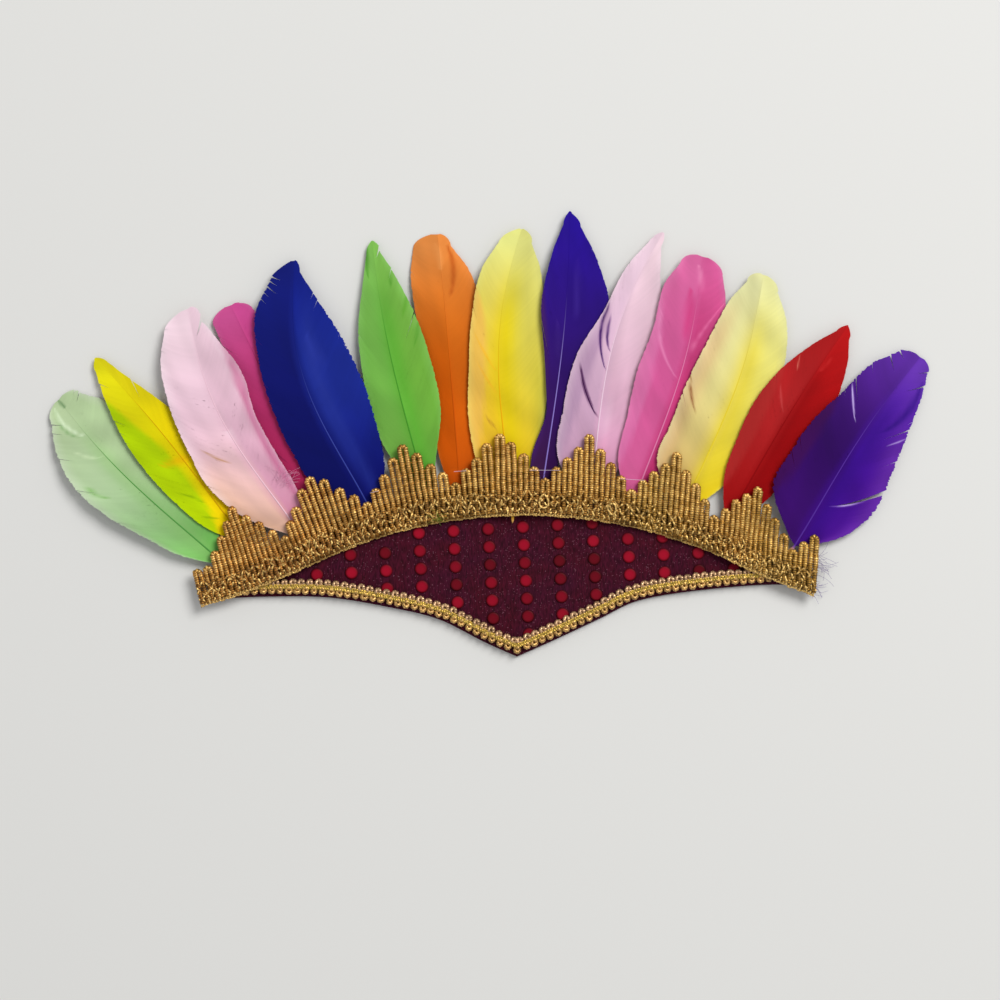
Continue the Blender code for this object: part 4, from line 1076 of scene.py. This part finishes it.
ring = np.array(RINGS)[:, :, None]
turn = np.linspace(0, 2 * np.pi, WHIRL_POINTS)[None]
s = ring[:, 0] + ring[:, 2] * np.sign(np.sin(turn)) * np.abs(np.sin(turn)) ** 1.2
h = ring[:, 1] + ring[:, 3] * np.cos(turn) + 0.0004 * np.sin(2 * turn + ring[:, 0] * 900)
weave(s, h, LACE_CORD + 0.0007, 1.3, 84, bead=0.0022)

share = np.linspace(0, 1, 8)[None]
start, base, slope, bend, rise, over = [rng.uniform(*ends, (SNIPPETS, 1)) for ends in SNIPPET_RANGES]
s = start + slope * share + bend * np.sin(np.pi * share)
h = base + rise * (share - 0.3)
lift = LACE_CORD * 0.5 + over * np.sin(np.pi * share)
weave(s, h, lift, 0.9, 91, sides=5)

# Binding threads hold the legs of each scallop side by side
THREAD_ROWS, BINDING_RADIUS = (0.0165, 0.0213, 0.0261, 0.0309), 0.00016
scallops = np.arange(-4, 4)
for row in THREAD_ROWS:
    narrowing = max(row - LACE_VALLEY, 0) / (LACE_PEAK - LACE_VALLEY)
    reach = LACE_LOOP * LOOPS_PER_SCALLOP / 2 * (1 - narrowing)
    peak = VALLEY_PLACE + LACE_LOOP * (LOOPS_PER_SCALLOP * scallops + LOOPS_PER_SCALLOP / 2)
    first = np.maximum(peak - reach, LACE_START) + LACE_CORD
    last = np.minimum(peak + reach, LACE_END) - LACE_CORD
    wide = last - first > 2 * LACE_LOOP
    s = first[wide, None] + (last - first)[wide, None] * np.linspace(0, 1, 60)[None]
    h = row + 0.0003 * wander(s, 0.003, 95)
    lift = LACE_CORD * 0.95 + 0.00025 * np.sin(s * 2 * np.pi / (LACE_LOOP / 2))
    points, faces, shade = tubes(lace_lines(s, h, lift), BINDING_RADIUS, 5)
    # Painted shade of each thread, on a gold a little darker than the lace
    heap.add(points, faces, 0.8 * gold_tone(s, 97)[:, :, None] * shade)
heap.piece("lace_foot", lace_gold, "crown_lace", "gold_lace")

# %% [markdown]
# ## Sewing thread and loose fluff
#
# The lace was sewn on with clear nylon thread, which shows where it bridges the valleys between
# scallops. Near their roots feathers also keep a few soft hairs that hook onto nothing. Both are fine
# round lines, so both are made with the same tubes as the cords.

# %% Sew the thread and loosen some hairs
# Each thread: its two ends in x and y
THREADS = (((0.0040, 0.0527), (0.0185, 0.0526)), ((-0.0322, 0.0520), (-0.0262, 0.0524)),
           ((0.0475, 0.0486), (0.0590, 0.0478)), ((-0.0722, 0.0418), (-0.0681, 0.0428)))
THREAD_RADIUS, HAIR_RADIUS = 0.00009, 0.00005
TUFT_SCATTER, HAIR_SHORTEST, HAIR_CURL, HAIR_WAVE = 0.18, 0.4, 50, 0.0003
# Each tuft: feather, share and offset of its root, extra height, hairs, length, direction and spread in
# degrees, colour
TUFTS = (("blush", 0.22, 0.0070, 0.0009, 26, 0.010, 66, 40, (232, 170, 200)),
         ("purple", -0.01, 0.0111, 0.0004, 24, 0.013, -20, 26, (84, 36, 140)),
         ("purple", -0.112, 0.0170, -0.0012, 20, 0.008, -38, 24, (104, 74, 160)),
         ("green", -0.075, 0.0030, 0.0040, 22, 0.005, 70, 170, (116, 140, 50)),
         ("violet", 0.06, -0.0040, 0.0004, 16, 0.012, 112, 14, (70, 30, 130)))

ends = np.array(THREADS)
share = np.linspace(0, 1, 60)[None, :, None]
flat = ends[:, :1] * (1 - share) + ends[:, 1:] * share
way = flat - ARC_CENTRE
s = ARC_RADIUS * np.arctan2(way[..., 0], way[..., 1])
z = drape(s, np.linalg.norm(way, axis=2) - ARC_RADIUS) + LACE_CORD + CORD_RADIUS / 2
points, faces, shade = tubes(raised(flat, z), THREAD_RADIUS, 6)
heap = Heap()
# Painted shade of the thread on its own colour
heap.add(points, faces, linear((226, 206, 226)) * shade)
heap.piece("nylon_threads", attribute_material("nylon", Roughness=0.3), "crown_lace", "gold_lace")

share = np.linspace(0, 1, 9)[None]
for number, (colour, t, offset, above, hairs, length, heading, spread, tone) in enumerate(TUFTS):
    draw = np.random.default_rng(500 + number)
    feather, t, offset = feathers[colour], np.array(t), np.array(offset)
    middle = feather.place(t, offset)
    root = middle + draw.normal(0, TUFT_SCATTER * length, (hairs, 1, 2))
    angle = heading + draw.uniform(-spread, spread, (hairs, 1))
    angle = np.radians(angle + draw.uniform(-HAIR_CURL, HAIR_CURL, (hairs, 1)) * share)
    run = length * draw.uniform(HAIR_SHORTEST, 1.0, (hairs, 1)) * share
    flat = root + run[..., None] * np.stack([np.cos(angle), np.sin(angle)], -1)
    z = feather.height(middle, t, offset) + above
    z = z + HAIR_WAVE * draw.uniform(0, 1, (hairs, 1)) * np.sin(np.pi * share)
    points, faces, shade = tubes(raised(flat, z), HAIR_RADIUS, 4)
    heap = Heap()
    # Painted shade of each hair on the tuft's colour
    heap.add(points, faces, linear(tone) * shade)
    heap.piece(f"{feather.name}_fluff_{number}", feather_material, feather.name, "feather_" + colour)

# %% [markdown]
# ## Gimp along the lower edge
#
# The gimp is a narrow braid: a plaited core with a row of small cord rings on each side. Its middle
# line is the lower edge moved inwards, cut where the two arms meet at the point. A flat ribbon with
# painted relief would be cheaper, but the rings are part of the outline. They are one small line
# repeated at even steps, and the plait is three strands that swing across and over each other.


# %% Make the gimp
def gimp_path(pitch):
    """Middle line at even steps along both arms, which are cut where they meet at the point."""
    arms = []
    for sign, arm in ((-1, LEFT_ARM), (1, RIGHT_ARM)):
        x = POINT_X + sign * np.linspace(0, arm, 600)
        edge = np.stack([x, edge_height(x)], -1)
        moved = edge + (BRAID_INSET + BRAID_WIDTH / 2) * (square_to(edge) * sign)
        moved = moved[(moved[:, 0] - POINT_X) * sign >= 0]
        run = run_along(moved)
        even = np.arange(0, run[-1] - BRAID_PITCH, pitch)
        arms.append(np.stack([np.interp(even, run, moved[:, i]) for i in range(2)], -1))
    return np.concatenate([arms[0][::-1], arms[1][1:]])


RING_CORD, RING_HALF, RING_INSET = 0.00092, 0.00113, 0.00185
RING_VARY, RING_SHIFT, RING_RISE, RING_SHADES = 0.12, 0.00015, 0.0003, 0.15
RING_DEPTH, RING_LAY, PLAIT_DEPTH, PLAIT_LAY, PLAIT_BEAD = 0.15, 0.0022, 0.12, 0.0016, 0.0011
PLAIT_STEP, PLAIT_PITCH, PLAIT_SWING, PLAIT_STRAND = 0.00035, 0.0036, 0.0008, 0.00055
PLAIT_LEVEL, PLAIT_CROSSING = 0.0016, 0.0003
GIMP_TOP_RINGS = linear((254, 204, 152))
GIMP_LOW_RINGS = linear((252, 198, 116))
GIMP_CORE = linear((255, 212, 96))

heap = Heap()
gimp_line = gimp_path(BRAID_PITCH / 2)
gimp_square = square_to(gimp_line)
turn = np.linspace(0, 2 * np.pi, 17)[None]
for sign, tone, first in ((1, GIMP_TOP_RINGS, 0), (-1, GIMP_LOW_RINGS, 1)):
    centres = (gimp_line + sign * (BRAID_WIDTH / 2 - RING_INSET) * gimp_square)[first::2]
    count = (len(centres), 1)
    size = RING_HALF * (1 + rng.uniform(-RING_VARY, RING_VARY, count))
    squash = 1 + rng.uniform(-RING_VARY, RING_VARY, count)
    x = centres[:, :1] + size * squash * np.cos(turn) + rng.uniform(-1, 1, count) * RING_SHIFT
    y = centres[:, 1:] + size / squash * np.sin(turn) + rng.uniform(-1, 1, count) * RING_SHIFT
    z = BRAID_BOTTOM + RING_CORD + RING_RISE * (1 + np.sin(turn * 2 + sign))
    points, faces, shade = tubes(np.stack([x, y, z + 0 * x], -1), RING_CORD, 7, 2, RING_DEPTH, RING_LAY)
    own = 1 + rng.uniform(-RING_SHADES, RING_SHADES, (*count, 1, 1))
    # Painted shade in the rings' furrows and on their under side, with a random tone for each ring
    heap.add(points, faces, tone * np.minimum(shade * 1.1, 0.85) * own)

fine = gimp_path(PLAIT_STEP)
run, fine_square = run_along(fine), square_to(fine)
for strand in range(3):
    phase = 2 * np.pi * (run / PLAIT_PITCH + strand / 3)
    line = fine + (PLAIT_SWING * np.sin(phase))[:, None] * fine_square
    z = BRAID_BOTTOM + PLAIT_LEVEL + PLAIT_CROSSING * np.sin(2 * phase)
    points, faces, shade = tubes(raised(line, z)[None], PLAIT_STRAND, 8, 2, PLAIT_DEPTH, PLAIT_LAY,
                                 bead=PLAIT_BEAD)
    # Painted shade in the strands' furrows and between stitches, each strand a little darker than the one
    # before
    heap.add(points, faces, GIMP_CORE * (1 - 0.1 * strand) * np.minimum(shade * 1.5, 1))
heap.piece("gimp_braid", gimp_gold, "edge_gimp", "gold_braid")

# %% [markdown]
# ## The padded band
#
# The band is foam covered in maroon glitter cloth, with its edges rolled under. Its outline could be
# raised and bevelled, but a section carried from the left end to the right gives an even grid. A soft
# pad has no sharp corner, so that section is a slab with round edges. The sequins are thin dished
# foils, sewn on in slanting columns, and each is tilted a little its own way.

# %% Cloth finish
def glitter_cloth():
    """Maroon knit with a faint upright weave, and sparse pale lurex specks that catch the light."""
    material, tree, shader = principled("glitter_cloth", Roughness=0.85, Specular_IOR_Level=0.1)
    place = add_node(tree, "ShaderNodeTexCoord").outputs["Object"]
    stretch = add_node(tree, "ShaderNodeMapping", Scale=(1.0, 0.25, 1.0), Vector=place)
    yarn = add_node(tree, "ShaderNodeTexNoise", Scale=1500.0, Detail=2.0,
                    Vector=stretch.outputs["Vector"])
    cloud = add_node(tree, "ShaderNodeTexNoise", Scale=70.0, Detail=2.0, Vector=place)
    hue = add_node(tree, "ShaderNodeMix", data_type="RGBA", Factor=cloud.outputs["Fac"],
                   A=(*linear((66, 8, 18)), 1), B=(*linear((54, 12, 36)), 1))
    tint = scaled(tree, hue.outputs["Result"], ranged(tree, yarn.outputs["Fac"], 0.3, 0.7, 0.55, 1.5))
    fleck = add_node(tree, "ShaderNodeTexVoronoi", Scale=2800.0, Vector=place)
    rare = add_node(tree, "ShaderNodeMath", operation="GREATER_THAN", Value=fleck.outputs["Color"])
    rare.inputs[1].default_value = 0.88
    speck = add_node(tree, "ShaderNodeMix", data_type="RGBA", Factor=rare.outputs["Value"],
                     A=tint, B=(*linear((104, 60, 74)), 1))
    relief = add_node(tree, "ShaderNodeBump", Strength=0.8, Distance=0.0002, Height=yarn.outputs["Fac"])
    set_up(tree, shader, Base_Color=speck.outputs["Result"], Normal=relief.outputs["Normal"])
    return material


# %% Make the pad
PAD_COLUMNS, PAD_ACROSS, PAD_CORNER = 321, 22, 7
PAD_ROUND = 0.0013
PAD_SAG = 0.00006


def make_pad():
    """Section at u: points from the lower to the upper edge, with quarter circles at both edges, and
    back along the flat underside. Near the ends the section's height shrinks along a quarter circle."""
    u = np.linspace(0, 1, PAD_COLUMNS)
    x = np.where(u < 0.5, POINT_X + (2 * u - 1) * LEFT_ARM, POINT_X + (2 * u - 1) * RIGHT_ARM)
    low = np.stack([x, edge_height(x)], -1)
    high = above_arc(-BAND_TOP_LEFT + u * (BAND_TOP_LEFT + BAND_TOP_RIGHT), np.full(len(u), BAND_TOP))
    width = np.linalg.norm(high - low, axis=1)[:, None]
    corner = np.linspace(0, np.pi, PAD_CORNER + 2)[1:-1]
    near = np.broadcast_to(PAD_ROUND * (1 - np.sin(corner)), (len(u), PAD_CORNER))
    rim = np.broadcast_to(PAD_THICKNESS / 2 * (1 - np.cos(corner)), near.shape)
    flat = np.linspace(0, 1, PAD_ACROSS)[None] * (width - 2 * PAD_ROUND) + PAD_ROUND
    across = np.concatenate([near, flat, width - near[:, ::-1], flat[:, ::-1]], 1)
    z = np.concatenate([rim, PAD_THICKNESS + 0 * flat, rim[:, ::-1], 0 * flat], 1)
    share = (across / width)[..., None]
    place = low[:, None] * (1 - share) + high[:, None] * share
    end = np.minimum(np.minimum(u, 1 - u) * 2 * LEFT_ARM / PAD_ROUND, 1)
    squeeze = np.sqrt(1 - (1 - end) ** 2)[:, None] * 0.98 + 0.02
    z = PAD_THICKNESS / 2 + (z - PAD_THICKNESS / 2) * squeeze
    sag = PAD_SAG * (wander(place[..., 0], 0.006, 7) + wander(place[..., 1], 0.004, 8) - 2)
    return raised(place, z + np.where(z > PAD_THICKNESS * 0.9, sag, 0))


heap = Heap()
pad_points = make_pad()
heap.add(pad_points[::-1], grid_faces(1, *pad_points.shape[:2]), linear((62, 20, 38)))
pad = heap.piece("padded_band", glitter_cloth(), "front_panel", "panel_cloth")

# %% Make the sequins
SEQUIN_DIAMETER, SEQUIN_SIDES = 0.006, 20
SEQUIN_COLUMN, SEQUIN_ROW, SEQUIN_TURN = 0.0167, 0.0086, math.radians(3.3)
SEQUIN_START = np.array([0.0019, 0.0082])
SEQUIN_LIFT, SEQUIN_TILT = 0.00008, 0.02
SEQUIN_RED, SEQUIN_DARK, SEQUIN_BRIGHT = linear((164, 8, 38)), 0.3, 0.95
# A sequin is sewn where the gimp hides less than about half of it, and not in the band's narrow ends
SEQUIN_OVER_BRAID, SEQUIN_HIDDEN, SEQUIN_REACH = 0.9, 0.45, 0.75
# Rings of a sequin from its middle to its rim and back below: share of the radius, level, shade
SEQUIN_RINGS = np.array([[0.1, 0.00006, 1], [0.4, 0.00005, 1], [0.7, 0.00007, 0.85],
                         [1.04, 0.0001, 0.15], [1.04, 0.00005, 0.15], [0.1, 0, 0.15]])


def sequin_places():
    """Centres on a slanting lattice that show between the lace and the gimp."""
    across = np.array([math.cos(SEQUIN_TURN), math.sin(SEQUIN_TURN)])
    up = np.array([-across[1], across[0]])
    column, row = np.meshgrid(np.arange(-9, 10), np.arange(-9, 10), indexing="ij")
    place = SEQUIN_START + column[..., None] * SEQUIN_COLUMN * across + row[..., None] * SEQUIN_ROW * up
    place = place.reshape(-1, 2)
    x, y = place.T
    under_foot = np.linalg.norm(place - ARC_CENTRE, axis=1) < ARC_RADIUS
    middle = np.abs(x - POINT_X) < SEQUIN_REACH * LEFT_ARM
    above = y > edge_height(x) + BRAID_INSET + SEQUIN_OVER_BRAID * BRAID_WIDTH
    clear = np.linalg.norm(place[:, None] - gimp_path(0.001)[None], axis=2).min(axis=1)
    seen = clear > BRAID_WIDTH / 2 - SEQUIN_DIAMETER * SEQUIN_HIDDEN
    return place[under_foot & middle & above & seen]


def make_sequins():
    """Dished foils: rings of points at growing radius, low in the middle, closed by a thin underside."""
    places = sequin_places()
    count = len(places)
    draw = np.random.default_rng(17)
    radius, level, shade = SEQUIN_RINGS.T[:, None, :, None]
    angle = -2 * np.pi * np.arange(SEQUIN_SIDES) / SEQUIN_SIDES
    x = SEQUIN_DIAMETER / 2 * radius * np.cos(angle)
    y = SEQUIN_DIAMETER / 2 * radius * np.sin(angle)
    tilt = draw.uniform(-SEQUIN_TILT, SEQUIN_TILT, (2, count, 1, 1))
    z = PAD_THICKNESS + SEQUIN_LIFT + level + tilt[0] * x + tilt[1] * y
    points = np.stack([x + places[:, 0, None, None], y + places[:, 1, None, None], z], -1)
    shade = draw.uniform(SEQUIN_DARK, SEQUIN_BRIGHT, (count, 1, 1, 1)) * shade[..., None]
    return points, grid_faces(count, len(SEQUIN_RINGS), SEQUIN_SIDES), SEQUIN_RED * shade


heap = Heap()
points, faces, tone = make_sequins()
heap.add(points, faces, tone)
foil = attribute_material("sequin_foil", Roughness=0.5, Specular_IOR_Level=0.08)
heap.piece("sequins", foil, "front_panel", "panel_cloth")
print("sequins shown:", len(points))
